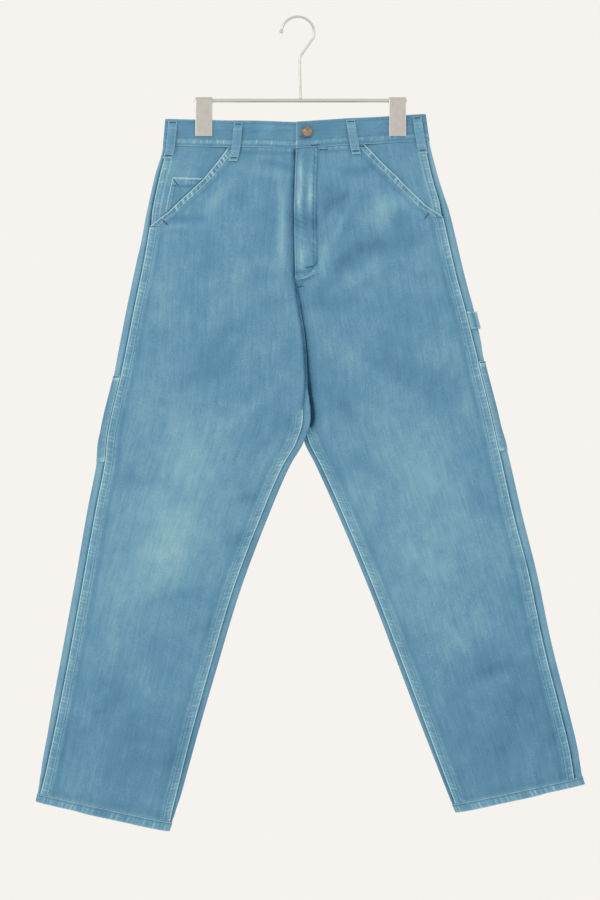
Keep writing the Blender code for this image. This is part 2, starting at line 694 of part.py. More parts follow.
def build_button(left):
    """The metal button, just clear of the waistband, with a raised rim and a low middle."""
    x, z = BUTTON_PLACE
    row = left.rows["waist"] * BUTTON_ROW_SHARE
    q = -(left.width(row) - (x + BUTTON_SEAT_SHIFT))
    seat = left.place(row, q, BAND_OUT + GAP + 0.15)[1]
    r, h = BUTTON_RADIUS, BUTTON_HEIGHT
    profile = (
        (0.0, 0.0), (0.55 * r, 0.0), (0.6 * r, -0.35 * h), (0.95 * r, -0.45 * h), (r, -0.65 * h),
        (0.93 * r, -h), (0.74 * r, -h), (0.66 * r, -0.8 * h), (0.3 * r, -0.8 * h), (0.0, -0.92 * h),
    )
    spun("button", BRASS, profile, (x, seat, z))


def tube(name, kind, line, radius, sides=10, ball=0.0):
    """A round wire along a line of points, with an optional ball over its first end."""
    line = [Vector(p) for p in line]
    points, triangles = [], []
    for i, centre in enumerate(line):
        before, after = line[max(i - 1, 0)], line[min(i + 1, len(line) - 1)]
        way = (after - before).normalized()
        side = Vector((0.0, 1.0, 0.0))
        up = way.cross(side).normalized()
        size = radius
        if ball and i < len(BALL_PROFILE):
            size = ball * BALL_PROFILE[i]
        for k in range(sides):
            a = 2.0 * math.pi * k / sides
            points.append(centre + (side * math.cos(a) + up * math.sin(a)) * size)
    for i in range(len(line) - 1):
        for k in range(sides):
            a, b = i * sides + k, i * sides + (k + 1) % sides
            triangles.append((a, a + sides, b + sides))
            triangles.append((a, b + sides, b))
    for start in (0, (len(line) - 1) * sides):
        for k in range(1, sides - 1):
            triangles.append((start, start + k, start + k + 1))
    return solid(name, kind, points, triangles)


def hook_line():
    """The hook's wire: a ball at the tip, the arc, a straight run in, and the stem."""
    centre = Vector((HOOK_X, 0.0, WIRE - HOOK_RADIUS))
    start, end = math.radians(HOOK_TIP_ANGLE), math.radians(HOOK_SIDE_ANGLE)
    arc = []
    for k in range(19):
        a = start + (end - start) * k / 18
        arc.append(centre + Vector((math.cos(a), 0.0, math.sin(a))) * HOOK_RADIUS)
    back = (arc[0] - arc[1]).normalized()
    tip = [arc[0] + back * HOOK_BALL * s for s in (1.6, 1.3, 0.7, 0.1)]
    neck = Vector((HOOK_NECK[0], 0.0, HOOK_NECK[1]))
    low = Vector((HANGER_X, 0.0, BAR_Z + BAR_RADIUS + GAP))
    run = [arc[-1].lerp(neck, s) for s in (0.35, 0.7, 0.92)]
    stem = [neck.lerp(low, s) for s in (0.06, 0.3, 0.65, 1.0)]
    return tip + arc[1:] + run + stem


def build_hanger():
    """The wire hook, a plain bar below it, and the two clips that grip the waistband."""
    tube("hanger_hook", STEEL, hook_line(), WIRE, ball=HOOK_BALL)
    ends = (-BAR_LENGTH / 2, BAR_LENGTH / 2)
    bar = [(HANGER_X + x, 0.0, BAR_Z) for x in np.linspace(*ends, 5)]
    tube("hanger_bar", STEEL, bar, BAR_RADIUS, sides=12)
    for name, x in (("right", HANGER_X - CLIP_X), ("left", HANGER_X + CLIP_X)):
        build_clip("hanger_clip_" + name, x)


def build_clip(name, x):
    """A bent plate over the bar whose two jaws lie on the waistband's faces."""
    gap, plate = CLIP_JAW_GAP, CLIP_PLATE
    roof = BAR_Z + BAR_RADIUS + GAP
    section = (
        (-gap, CLIP_BOTTOM), (-gap, roof - 2.0), (-gap + 2.0, roof), (gap - 2.0, roof),
        (gap, roof - 2.0), (gap, CLIP_BOTTOM), (gap + plate, CLIP_BOTTOM), (gap + plate, roof),
        (gap - 0.5, roof + plate + 0.5), (0.5 - gap, roof + plate + 0.5), (-gap - plate, roof),
        (-gap - plate, CLIP_BOTTOM),
    )
    count = len(section)
    points = [(x + s * CLIP_WIDTH / 2, y, z) for s in (-1.0, 1.0) for y, z in section]
    triangles = []
    for k in range(count):
        after = (k + 1) % count
        triangles.append((k, after, count + after))
        triangles.append((k, count + after, count + k))
    for k in range(count // 2 - 1):
        a, b, c, d = k, k + 1, count - 2 - k, count - 1 - k
        for base in (0, count):
            triangles.append((base + a, base + b, base + c))
            triangles.append((base + a, base + c, base + d))
    solid(name, STEEL, points, triangles)


def main():
    clear_scene()
    right, left = Side(-1, RIGHT), Side(1, LEFT)
    front_right, back_right, bearer_right = build_panels(right, "right")
    front_left, back_left, bearer_left = build_panels(left, "left")
    build_fly(front_left)
    build_coin_pocket(bearer_right)
    for name, back in (("right", back_right), ("left", back_left)):
        top, foot = back.index("crotch"), back.index("pouch_foot")
        build_patch("tool_pocket_" + name, back, top, foot, 0, back_column(0.3))
        top, foot = back.index("pouch"), back.index("strap")
        build_patch("back_pocket_" + name, back, top, foot, back_column(0.3), back_column(0.85))
    build_hammer_loop(back_left)
    build_waistband(right, left)
    build_belt_loops(right, left)
    for name, side in (("right", right), ("left", left)):
        build_hem(side, name)
    build_button(left)
    build_hanger()


main()
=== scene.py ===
"""Blue carpenter jeans on a clip hanger: cloth, sewing, metal and studio over the frame.

Every length is in millimetres until a mesh is made. The cloth's tables and its skin are
the same as the solids', so each piece lies where its solid is. The front faces -Y.
"""

import functools
import math

import bmesh
import bpy
import numpy as np
from bpy.props import FloatProperty, FloatVectorProperty, PointerProperty
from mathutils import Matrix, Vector


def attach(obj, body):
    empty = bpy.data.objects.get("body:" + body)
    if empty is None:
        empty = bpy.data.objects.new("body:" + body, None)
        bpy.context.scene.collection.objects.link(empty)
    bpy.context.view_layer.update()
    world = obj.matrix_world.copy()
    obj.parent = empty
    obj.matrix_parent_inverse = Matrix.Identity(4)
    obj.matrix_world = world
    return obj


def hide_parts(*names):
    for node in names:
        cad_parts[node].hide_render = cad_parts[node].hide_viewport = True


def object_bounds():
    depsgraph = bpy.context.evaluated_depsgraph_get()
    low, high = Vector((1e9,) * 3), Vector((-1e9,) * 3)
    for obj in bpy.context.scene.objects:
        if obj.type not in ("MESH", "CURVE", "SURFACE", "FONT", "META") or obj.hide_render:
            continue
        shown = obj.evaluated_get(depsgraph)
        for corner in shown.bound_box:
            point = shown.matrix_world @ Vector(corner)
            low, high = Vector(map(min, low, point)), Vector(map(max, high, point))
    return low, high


bl_info = {
    "name": "Carpenter jeans",
    "version": (1, 0, 0),
    "blender": (4, 5, 0),
    "location": "View3D > Sidebar > Jeans",
    "description": "Dresses the jeans and their hanger, piece by piece",
    "category": "Object",
}

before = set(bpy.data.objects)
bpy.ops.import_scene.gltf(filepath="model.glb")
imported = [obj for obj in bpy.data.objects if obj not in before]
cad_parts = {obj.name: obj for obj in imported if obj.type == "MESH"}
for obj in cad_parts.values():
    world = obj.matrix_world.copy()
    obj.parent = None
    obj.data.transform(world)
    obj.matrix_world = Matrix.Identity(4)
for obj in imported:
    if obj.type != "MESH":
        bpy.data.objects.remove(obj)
CAD_BOX = [list(corner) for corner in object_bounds()]

MM = 0.001

# Cloth sizes, as in the solids
WALL = 1.4
BAND_OUT = 0.5
BAND_IN = 1.9
HEM_OUT = 0.6
HEM_IN = 2.4
GAP = 0.3
SEAM = 0.2
EDGE_WALL = 1.0
FELL_WALL = 0.8
FLY_WALL = 1.2
PATCH_WALL = 1.4
STRAP_WALL = 1.6
LOOP_WALL = 1.6
LOOP_WIDTH = 14.0
LOOP_CLEAR = 0.6
LOOP_STAND_OFF = 2.6
STRAP_STAND_OFF = 3.4
EDGE_WIDTH = 11.5
LAP_LENGTH = 36.0
HEM_DROP_BACK = 2.5
OUTER_ROUNDNESS = 2.4
LAP_FROM = 0.6
LAP_FULL = 0.95
TIP_RADIUS = 3.2
BAND_HEIGHT = 42.0

# How much paler the top of a crease is and how much darker its trough, as painted light and shade, and how
# the sewing lies, finer than the solids
CREASE_LIGHT_AND_SHADE = 0.17
FLY_WIDTH = 35.5
FLY_LANES = (29.0, 34.0)
FLY_CURVE = 0.62
BAND_LANES = (3.6, 12.4, 38.4)
POCKET_LANES = (2.6, 9.2)
PATCH_LANES = (2.4, 8.4)
TUCK = 3.4
ACROSS = 90.0
TACK_PITCH = 0.55
TACK_THICKNESS = 0.62

# The studio: the picture's height in pixels and what a pixel spans at the garment, the
# camera's sensor and place, and how far the floor is below the lowest point
PICTURE_HEIGHT = 900
PIXEL = 1.55
SENSOR = 36.0
CAMERA_X = 3.9
CAMERA_Z = -669.6
FLOOR_DROP = 360.0

# Hanger sizes, as in the solids
CLIP_X = 150.0
CLIP_FLAT = 28.0
CLIP_FREE = 84.0
CLIP_PINCH = 0.62
HANGER_X = 5.0
WIRE = 2.0
HOOK_RADIUS = 25.4
HOOK_TIP_ANGLE = 170.0
HOOK_SIDE_ANGLE = -16.0
HOOK_NECK = (3.3, -61.2)
HOOK_BALL = 3.2
BAR_RADIUS = 3.0
BAR_LENGTH = 330.0
BAR_Z = -128.0
CLIP_WIDTH = 26.0
CLIP_PLATE = 1.5
CLIP_JAW_GAP = 5.7
CLIP_BOTTOM = -184.0
BUTTON_PLACE = (14.7, -178.0)
BUTTON_RADIUS = 8.5
BUTTON_HEIGHT = 3.2

COLUMNS = (
    "name", "outer_x", "outer_z", "inner_x", "inner_z", "depth", "outseam", "mouth",
    "inseam", "strip", "closed", "roundness", "lap", "rows",
)

# The wearer's right side, at -X, as in the solids, but for the inseam's place at the tip
RIGHT = (
    ("band", -204.6, -156.6, -2.8, -162, 12, 6, 101, 0, 11, 0, 2.4, 0, 2),
    ("waist", -208.5, -199, -3, -204, 13, 6, 101, 0, 11, 0, 2.4, 0, 2),
    ("coin", -222, -248, -4.4, -251, 17, 8, 78, 0, 11, 0, 2.4, 0, 3),
    ("pouch", -234, -302, -5.4, -305, 20, 9, 35, 0, 11, 0, 2.4, 0, 1),
    ("corner", -238, -324, -5.2, -329, 21, 10, 10, 0, 11, 0, 2.4, 0, 3),
    ("fly_foot", -256.5, -411, -4.2, -408, 24, 13, 13, 0, 11, 0, 2.4, 0.95, 1),
    ("strap", -265, -451, 1.2, -453, 24, 13, 13, 0, 11, 0.15, 2.2, 1.4, 1),
    ("seat", -272.6, -490, 7.5, -491, 23, 13, 13, 0, 11, 0.5, 1.8, 2.2, 3),
    ("crotch", -285, -555, 13.6, -555, 21, 12, 12, 1.5, 11, 1, 1.4, 4.2, 3),
    ("tip", -299, -614, 21, -620, 19, 12, 12, 13, 11, 1, 1.6, 6.2, 2),
    ("fork", -307, -651, 9.3, -659, 18, 13, 13, 12, 11, 1, 1.8, 5.2, 1),
    ("pouch_foot", -311.5, -688, -11, -694, 17, 14, 14, 12, 11, 1, 2, 3.2, 2),
    ("thigh", -326, -763, -45, -773, 17, 14, 14, 12, 11, 1, 2.4, 0, 3),
    ("knee", -343, -863, -88, -887, 17, 13, 13, 12, 11, 1, 2.4, 0, 3),
    ("shin", -362, -967, -122, -998, 16, 13, 13, 11, 11, 1, 2.4, 0, 3),
    ("calf", -380, -1066, -153, -1105, 15, 12, 12, 10, 11, 1, 2.4, 0, 3),
    ("ankle", -396.5, -1159, -179, -1200, 14, 9, 9, 8, 11, 1, 2.4, 0, 2),
    ("cuff", -402.7, -1201, -194, -1246, 14, 5, 5, 4, 11, 1, 2.4, 0, 2),
    ("hem", -405.5, -1214, -198, -1260, 14, 4, 4, 3, 11, 1, 2.4, 0, 0),
)

# The wearer's left side, at +X, as in the solids
LEFT = (
    ("band", 198.4, -148.8, -2.4, -162, 12, 8, 101, 0, 33, 0, 2.4, 0, 2),
    ("waist", 204.6, -190.6, -2.6, -204, 13, 8, 101, 0, 33, 0, 2.4, 0, 2),
    ("coin", 217.8, -245, -4, -251, 17, 10, 64, 0, 33, 0, 2.4, 0, 3),
    ("pouch", 232.5, -290, -5, -305, 20, 12, 35, 0, 33, 0, 2.4, 0, 1),
    ("corner", 237.6, -308.5, -4.8, -329, 21, 13, 13, 0, 33, 0, 2.4, 0, 3),
    ("fly_foot", 262.7, -411, -3.6, -408, 24, 15, 15, 0, 33, 0, 2.4, 0.95, 1),
    ("strap", 273.6, -451, 1.7, -453, 24, 15, 15, 0, 28, 0.15, 2.2, 1.4, 1),
    ("seat", 281.3, -485, 8, -491, 23, 14, 14, 0, 22, 0.5, 1.8, 2.2, 3),
    ("crotch", 290, -532, 14.1, -555, 21, 11, 11, 1.5, 16, 1, 1.4, 4.2, 3),
    ("tip", 310, -611, 2, -620, 19, 12, 12, 3, 12, 1, 1.6, 6.2, 2),
    ("fork", 320, -651, 11, -659, 18, 13, 13, 8, 11, 1, 1.8, 5.2, 1),
    ("pouch_foot", 325.5, -670, 27, -691, 17, 14, 14, 8, 11, 1, 2, 3.2, 2),
    ("thigh", 347, -762, 64, -773, 17, 15, 15, 8, 11, 1, 2.4, 0, 3),
    ("knee", 372, -863, 111.6, -887, 17, 14, 14, 8, 11, 1, 2.4, 0, 3),
    ("shin", 393.7, -967, 154, -998, 16, 14, 14, 8, 11, 1, 2.4, 0, 3),
    ("calf", 417.7, -1062, 194.5, -1104, 15, 14, 14, 7, 11, 1, 2.4, 0, 3),
    ("ankle", 434.8, -1133, 224, -1180, 14, 14, 14, 6, 11, 1, 2.4, 0, 2),
    ("cuff", 441.7, -1175, 239.5, -1218, 14, 14, 14, 5, 11, 1, 2.4, 0, 2),
    ("hem", 445.6, -1187, 245, -1231, 14, 14, 14, 4, 11, 1, 2.4, 0, 0),
)

# The broad folds, as in the solids: face, middle, length, width, slope and height
FOLDS = (
    (-1, -150, -345, 150, 45, 4, -1.6),
    (-1, -95, -520, 230, 60, 32, -1.8),
    (-1, -130, -620, 260, 70, 26, 1.8),
    (-1, 110, -520, 220, 60, -30, -1.6),
    (-1, 160, -640, 260, 70, -24, 1.6),
    (-1, -235, -810, 200, 80, 12, 2),
    (-1, 245, -800, 200, 80, -12, 2),
    (-1, -270, -1010, 220, 90, 20, -1.6),
    (-1, 290, -1000, 220, 90, -20, -1.6),
    (1, -110, -560, 260, 70, 28, -2),
    (1, 120, -560, 260, 70, -28, -2),
    (1, -240, -880, 220, 80, -14, 1.8),
    (1, 250, -880, 220, 80, 14, 1.8),
)

# The creases that lie on the broad folds: face, middle, length, width, slope, bend and
# height. Bend is how far a crease bows from its own line over half its length, and height
# is below zero for a trough.
CREASES = (
    (-1, 47, -340, 120, 14, 77, 0, 1.5),
    (-1, 58, -292, 40, 16, 45, 3, -1.3),
    (-1, 86, -373, 90, 24, 36, 4, -1.8),
    (-1, 104, -398, 90, 22, 30, 2, 1.2),
    (-1, 40, -428, 55, 20, 50, 5, -1.6),
    (-1, 92, -232, 60, 13, 6, -8, -1.4),
    (-1, 76, -285, 44, 9, 82, 2, -0.9),
    (-1, 135, -300, 90, 30, 24, 3, 1.2),
    (-1, 150, -352, 100, 30, 12, 4, -1.1),
    (-1, -35, -229, 58, 10, -14, 2, -1.4),
    (-1, -40, -243, 60, 14, -10, 0, 0.9),
    (-1, -24, -350, 170, 16, 84, 3, 1.2),
    (-1, -12, -330, 150, 14, 88, 0, -1.2),
    (-1, -35, -280, 120, 34, 88, 0, -0.9),
    (-1, -175, -316, 66, 12, 6, 3, -1.6),
    (-1, -184, -326, 46, 9, -4, 1, 0.8),
    (-1, -186, -334, 40, 9, 2, 1, -0.8),
    (-1, -88, -262, 90, 26, 80, 4, -0.8),
    (-1, -100, -405, 150, 34, 22, 8, 1),
    (-1, -72, -470, 130, 24, 34, 5, -1.1),
    (-1, -180, -440, 120, 36, 10, 4, -0.8),
    (-1, -150, -560, 150, 34, 28, 6, -1),
    (-1, -60, -590, 140, 22, 40, -5, 1.2),
    (-1, -35, -640, 110, 16, 46, -3, -1),
    (-1, -78, -745, 46, 18, 12, 2, -1.4),
    (-1, -92, -812, 60, 24, 20, 3, -1.4),
    (-1, -150, -800, 90, 26, -24, 4, 0.9),
    (-1, -215, -730, 130, 40, -14, 6, -0.7),
    (-1, -205, -905, 120, 30, 14, 4, -0.9),
    (-1, -280, -960, 130, 18, 80, 5, 0.7),
    (-1, -305, -1075, 26, 7, 12, 1, -1),
    (-1, -240, -1060, 110, 30, 24, 4, 0.8),
    (-1, -220, -1150, 100, 26, 12, -3, -0.8),
    (-1, 95, -545, 140, 26, -36, 6, 1.1),
    (-1, 60, -600, 120, 22, -42, 4, -1),
    (-1, 180, -560, 150, 40, -18, 6, -0.9),
    (-1, 110, -700, 120, 28, -30, 4, -1),
    (-1, 178, -828, 60, 8, -66, 3, 0.9),
    (-1, 205, -872, 44, 7, -64, 2, 0.8),
    (-1, 240, -760, 140, 40, 16, 6, -0.8),
    (-1, 245, -965, 95, 12, -58, 4, 1.1),
    (-1, 304, -1012, 90, 22, 20, 5, -1.1),
    (-1, 300, -1034, 80, 16, 22, 4, 0.9),
    (-1, 276, -1075, 40, 14, -40, 2, 0.8),
    (-1, 345, -950, 110, 30, -70, 4, -0.7),
    (-1, 298, -1155, 100, 16, -76, 2, 0.8),
    (-1, 390, -1120, 60, 18, 50, 2, -1),
    (1, -60, -420, 150, 26, 58, 6, 1.4),
    (1, 62, -430, 140, 26, -56, 6, 1.3),
    (1, -75, -520, 170, 26, 40, -8, -2.2),
    (1, -110, -600, 190, 30, 30, -8, 1.9),
    (1, -90, -655, 150, 22, 36, -6, -1.8),
    (1, 84, -515, 160, 26, -42, -8, -2),
    (1, 120, -610, 190, 30, -28, -8, 1.8),
    (1, 100, -665, 140, 22, -38, -6, -1.7),
    (1, -190, -780, 150, 26, 14, 6, -1.6),
    (1, -215, -815, 130, 22, 8, 5, 1.5),
    (1, -200, -850, 120, 20, 2, 4, -1.3),
    (1, 215, -775, 150, 26, -12, 6, -1.6),
    (1, 225, -820, 130, 22, -6, 5, 1.4),
    (1, 235, -858, 110, 20, 2, 4, -1.3),
    (1, -250, -1010, 150, 40, 24, 6, 1.1),
    (1, -270, -1110, 140, 34, 16, 6, -1),
    (1, 285, -1000, 150, 40, -24, 6, 1.1),
    (1, 320, -1100, 130, 34, -14, 6, -1),
    (1, -215, -380, 110, 26, 70, 4, -1),
    (1, 220, -380, 110, 26, -70, 4, -1),
)

# Where wear has faded the cloth (above zero) or left it darker, with painted shade along the troughs of
# folds and painted highlights along their ridges: face, middle, half width, half height, slope and amount
WEAR_AND_SHADE_PATCHES = (
    (-1, -205, -817, 50, 70, -10, 0.52),
    (-1, -168, -640, 62, 80, 0, 0.24),
    (-1, -165, -740, 80, 80, 0, 0.18),
    (-1, -255, -900, 50, 70, 0, 0.12),
    (-1, -225, -1120, 110, 90, 0, -0.28),
    (-1, -140, -560, 60, 60, 0, -0.10),
    (-1, -70, -350, 45, 80, 0, -0.14),
    (-1, -215, -420, 30, 90, 8, 0.16),
    (-1, -60, -600, 40, 70, 20, -0.18),
    (-1, 170, -700, 80, 80, 0, 0.22),
    (-1, 205, -800, 80, 80, 0, 0.20),
    (-1, 200, -900, 60, 80, 0, 0.12),
    (-1, 330, -1040, 90, 90, 0, -0.22),
    (-1, 330, -1150, 150, 80, 0, -0.26),
    (-1, 60, -560, 60, 90, 0, -0.10),
    (-1, 90, -300, 80, 60, 0, -0.16),
    (-1, 150, -440, 90, 60, 0, -0.06),
    (-1, 128, -310, 20, 26, 0, 0.26),
    (-1, 160, -318, 16, 22, 0, -0.26),
    (-1, 50, -285, 20, 30, -30, -0.30),
    (-1, 80, -380, 18, 40, -38, -0.10),
    (-1, 66, -320, 7, 50, -22, 0.34),
    (-1, -24, -330, 6, 100, 3, 0.34),
    (-1, -13, -300, 5, 70, 0, -0.22),
    (-1, -82, -282, 12, 30, 0, -0.22),
    (-1, -122, -278, 12, 40, -38, 0.26),
    (-1, 45, -445, 30, 14, 0, -0.22),
    (1, -120, -470, 90, 110, 0, 0.18),
    (1, 120, -470, 90, 110, 0, 0.18),
    (1, -220, -830, 70, 110, 0, 0.10),
    (1, 240, -830, 70, 110, 0, 0.10),
)


def ease(low, high, value):
    """0 below low, 1 above high, and smooth between them."""
    t = np.clip((value - low) / (high - low), 0.0, 1.0)
    return t * t * (3.0 - 2.0 * t)


def bump(value, middle, half):
    """1 at the middle, falling off smoothly over a half width."""
    return np.exp(-(((value - middle) / half) ** 2))


def shares(count):
    """Shares from 0 to 1, evenly spaced."""
    return np.linspace(0.0, 1.0, count)


def rounded(count):
    """Shares from 0 to 1, close together at both ends."""
    return (1.0 - np.cos(np.pi * shares(count))) / 2


def run_of(points):
    """How far along a line of points each one is."""
    steps = np.linalg.norm(np.diff(points, axis=0), axis=-1)
    return np.concatenate(([0.0], np.cumsum(steps)))


@functools.lru_cache(maxsize=None)
def lumps(seed):
    """A net of random heights for a seed."""
    return np.random.default_rng(seed).uniform(-1.0, 1.0, (61, 61))


def mottle(x, z, size, seed):
    """Smooth unevenness between -1 and 1, in lumps of a size."""
    net = lumps(seed)
    across, down = x / size + 1000.0, z / size + 1000.0
    i, j = np.floor(across).astype(int), np.floor(down).astype(int)
    s, t = ease(0.0, 1.0, across - i), ease(0.0, 1.0, down - j)
    i, j, after_i, after_j = i % 61, j % 61, (i + 1) % 61, (j + 1) % 61
    top = net[i, j] * (1.0 - s) + net[after_i, j] * s
    bottom = net[i, after_j] * (1.0 - s) + net[after_i, after_j] * s
    return top * (1.0 - t) + bottom * t


def pucker(along, spacing, seed):
    """The small ridges that sewing draws across a seam: 0 in the hollows, 1 on the ridges."""
    random = np.random.default_rng(seed)
    count = int(3200.0 / spacing)
    tops = np.cumsum(spacing * random.uniform(0.6, 1.4, count)) - 1400.0
    knots = np.empty(2 * count - 1)
    values = np.empty(2 * count - 1)
    knots[0::2], values[0::2] = tops, random.uniform(0.3, 1.0, count)
    knots[1::2], values[1::2] = (tops[1:] + tops[:-1]) / 2, random.uniform(0.0, 0.15, count - 1)
    return ease(0.0, 1.0, np.interp(along, knots, values))


class Curve:
    """A curve through knots that never swings past them."""

    def __init__(self, knots, values):
        self.knots = np.asarray(knots, float)
        self.values = np.asarray(values, float)
        self.steps = np.diff(self.knots)
        rise = np.diff(self.values) / self.steps
        slopes = np.zeros(len(self.values))
        slopes[0] = rise[0]
        slopes[-1] = rise[-1]
        for i in range(1, len(rise)):
            if rise[i - 1] * rise[i] > 0.0:
                slopes[i] = 2.0 * rise[i - 1] * rise[i] / (rise[i - 1] + rise[i])
        self.slopes = slopes

    def at(self, knot):
        last = len(self.steps) - 1
        i = np.clip(np.searchsorted(self.knots, knot, side="right") - 1, 0, last)
        h = self.steps[i]
        t = (knot - self.knots[i]) / h
        start = (1.0 + 2.0 * t) * (1.0 - t) ** 2 * self.values[i]
        start += t * (1.0 - t) ** 2 * h * self.slopes[i]
        end = t * t * (3.0 - 2.0 * t) * self.values[i + 1]
        end += t * t * (t - 1.0) * h * self.slopes[i + 1]
        return start + end


def turned(x, z, middle, slope):
    """How far places lie along and across a sloping line through a middle."""
    c, s = math.cos(math.radians(slope)), math.sin(math.radians(slope))
    along = (x - middle[0]) * c + (z - middle[1]) * s
    return along, (z - middle[1]) * c - (x - middle[0]) * s


def on_face(table, face):
    """The middle and the other values of a table's lines for one face of the cloth."""
    return [(line[1:3], *line[3:]) for line in table if line[0] == face]


def fold_height(face, x, z):
    """How far the broad folds move one face of the cloth."""
    total = np.zeros(np.broadcast(x, z).shape)
    for middle, length, width, slope, height in on_face(FOLDS, face):
        along, across = turned(x, z, middle, slope)
        total += height * np.exp(-((2.0 * along / length) ** 2) - (2.0 * across / width) ** 2)
    return total


def crease_height(face, x, z):
    """How far the creases move one face of the cloth."""
    total = np.zeros(np.broadcast(x, z).shape)
    for middle, length, width, slope, bend, height in on_face(CREASES, face):
        along, across = turned(x, z, middle, slope)
        along = along * 2.0 / length
        across = across - bend * (1.0 - along**2)
        total += height * np.exp(-(along**4) - (2.0 * across / width) ** 2)
    return total


def fading_and_painted_shade(face, x, z):
    """How far wear has faded one face of the cloth, with the painted shade and highlights of the patches
    and the creases.
    """
    total = np.zeros(np.broadcast(x, z).shape)
    for middle, wide, high, slope, amount in on_face(WEAR_AND_SHADE_PATCHES, face):
        across, down = turned(x, z, middle, slope)
        total += amount * np.exp(-((across / wide) ** 2) - (down / high) ** 2)
    return total + CREASE_LIGHT_AND_SHADE * crease_height(face, x, z)


class Side:
    """One side of the garment: its stations, and the skin between them, for whole grids.

    q is the distance round from the outer edge: below zero it runs in over the front,
    above zero in over the back, and past the width it has come round the inner edge.
    """

    def __init__(self, sign, table):
        self.sign = sign
        stations = [dict(zip(COLUMNS, line)) for line in table]
        starts = np.cumsum([0] + [s["rows"] for s in stations[:-1]])
        self.rows = {s["name"]: float(r) for s, r in zip(stations, starts)}
        self.curves = {}
        for column in COLUMNS[1:-1]:
            self.curves[column] = Curve(starts, [s[column] for s in stations])
        self.mouths = (starts, [s["mouth"] for s in stations])

    def value(self, column, row):
        return self.curves[column].at(row)

    def mouth(self, row):
        """Where the front panel starts: straight down the pocket, then on the outseam."""
        slanted = np.interp(row, *self.mouths)
        return np.where(row >= self.rows["corner"], self.value("outseam", row), slanted)

    def width(self, row):
        across = self.value("inner_x", row) - self.value("outer_x", row)
        down = self.value("inner_z", row) - self.value("outer_z", row)
        return np.hypot(across, down)

    def half_depth(self, row, x, t):
        """Half the depth of the hollow at t, 0 at the outer edge and 1 at the inner."""
        off = 2.0 * t - 1.0
        outer = (1.0 - np.clip(-off, 0.0, 1.0) ** OUTER_ROUNDNESS) ** (1.0 / OUTER_ROUNDNESS)
        power = self.value("roundness", row)
        shut = self.value("closed", row) * np.clip(off, 0.0, 1.0) ** power
        inner = np.clip(1.0 - shut, 0.0, 1.0) ** (1.0 / power)
        near_clip = 1.0 - ease(CLIP_FLAT, CLIP_FREE, np.abs(np.abs(x - HANGER_X) - CLIP_X))
        up_high = 1.0 - ease(self.rows["waist"], self.rows["pouch"], row)
        half = self.value("depth", row) * np.where(off < 0.0, outer, inner)
        half = half * (1.0 - CLIP_PINCH * near_clip * up_high)
        inside = np.clip(np.minimum(t, 1.0 - t) * self.width(row), 0.0, TIP_RADIUS)
        return np.maximum(half, np.sqrt(TIP_RADIUS**2 - (TIP_RADIUS - inside) ** 2))

    def spot(self, row, q):
        """The face, share of the width, x and z of a place."""
        wide = self.width(row)
        runs_on = (q <= wide) | (self.value("closed", row) < 0.9)
        face = np.where((q < 0.0) | ~runs_on, -1.0, 1.0)
        t = np.where(q < 0.0, -q, np.where(runs_on, q, 2.0 * wide - q)) / wide
        x = self.value("outer_x", row) * (1.0 - t) + self.value("inner_x", row) * t
        z = self.value("outer_z", row) * (1.0 - t) + self.value("inner_z", row) * t
        return face, t, x, z

    def skin(self, row, q):
        """The points on the skin, with the folds, the creases and a slight crumple."""
        face, t, x, z = self.spot(row, q)
        lens = self.half_depth(row, x, t)
        y = self.sign * self.value("lap", row) * ease(LAP_FROM, LAP_FULL, t) + face * lens
        relief = 0.55 * mottle(x, 0.6 * z, 34.0, 3) + 0.3 * mottle(x, 0.7 * z, 13.0, 4)
        for side in (-1, 1):
            if np.any(face == side):
                here = fold_height(side, x, z) + crease_height(side, x, z)
                relief = relief + np.where(face == side, here, 0.0)
        edge = np.minimum(1.0, lens / 10.0)
        return np.stack(np.broadcast_arrays(x, y + face * edge * relief, z), axis=-1)

    def place(self, row, q, out=0.0):
        """Points moved out from the skin, and the way out of the cloth at each."""
        wide = self.width(row)
        low, high = q - 0.4, q + 0.4
        stop = ((self.value("closed", row) < 0.999) | (q < 0.0)) & (np.abs(q) <= wide)
        low = np.where(stop, np.maximum(low, -wide), low)
        high = np.where(stop, np.minimum(high, wide), high)
        round_way = self.skin(row, high) - self.skin(row, low)
        top, bottom = np.maximum(row - 0.05, 0.0), np.minimum(row + 0.05, self.rows["hem"])
        share = q / wide
        down_way = self.skin(bottom, share * self.width(bottom))
        down_way = down_way - self.skin(top, share * self.width(top))
        way = -self.sign * np.cross(round_way, down_way)
        way = way / np.linalg.norm(way, axis=-1, keepdims=True)
        move = np.broadcast_to(out, way.shape[:-1])
        return self.skin(row, q) + way * move[..., None], way

    def rows_between(self, first, last, step):
        """Rows from one to another, a step of cloth apart, as a column."""
        fine = np.linspace(first, last, 300)
        ends = [(self.value("outer_" + a, fine), self.value("inner_" + a, fine)) for a in "xz"]
        steps = np.hypot(*(np.diff((outer + inner) / 2) for outer, inner in ends))
        run = np.concatenate(([0.0], np.cumsum(steps)))
        count = max(2, int(run[-1] / step) + 1)
        return np.interp(np.linspace(0.0, run[-1], count), run, fine)[:, None]


SIDES = {"right": Side(-1, RIGHT), "left": Side(1, LEFT)}


def sizes():
    """The sizes and lights in the panel."""
    return bpy.context.scene.jeans_sizes


def colours():
    """The colours in the panel."""
    return bpy.context.scene.jeans_colours


def linear(code):
    """A hex colour as linear red, green and blue."""
    parts = [int(code[i : i + 2], 16) / 255.0 for i in (1, 3, 5)]
    return tuple(p / 12.92 if p <= 0.04045 else ((p + 0.055) / 1.055) ** 2.4 for p in parts)


def add(tree, kind, links=(), **settings):
    """One node in a tree. links pairs an input with the output or the value that it takes."""
    node = tree.nodes.new(kind)
    for name, value in settings.items():
        setattr(node, name, value)
    for socket, source in links:
        if isinstance(source, bpy.types.NodeSocket):
            tree.links.new(source, node.inputs[socket])
        else:
            node.inputs[socket].default_value = source
    return node


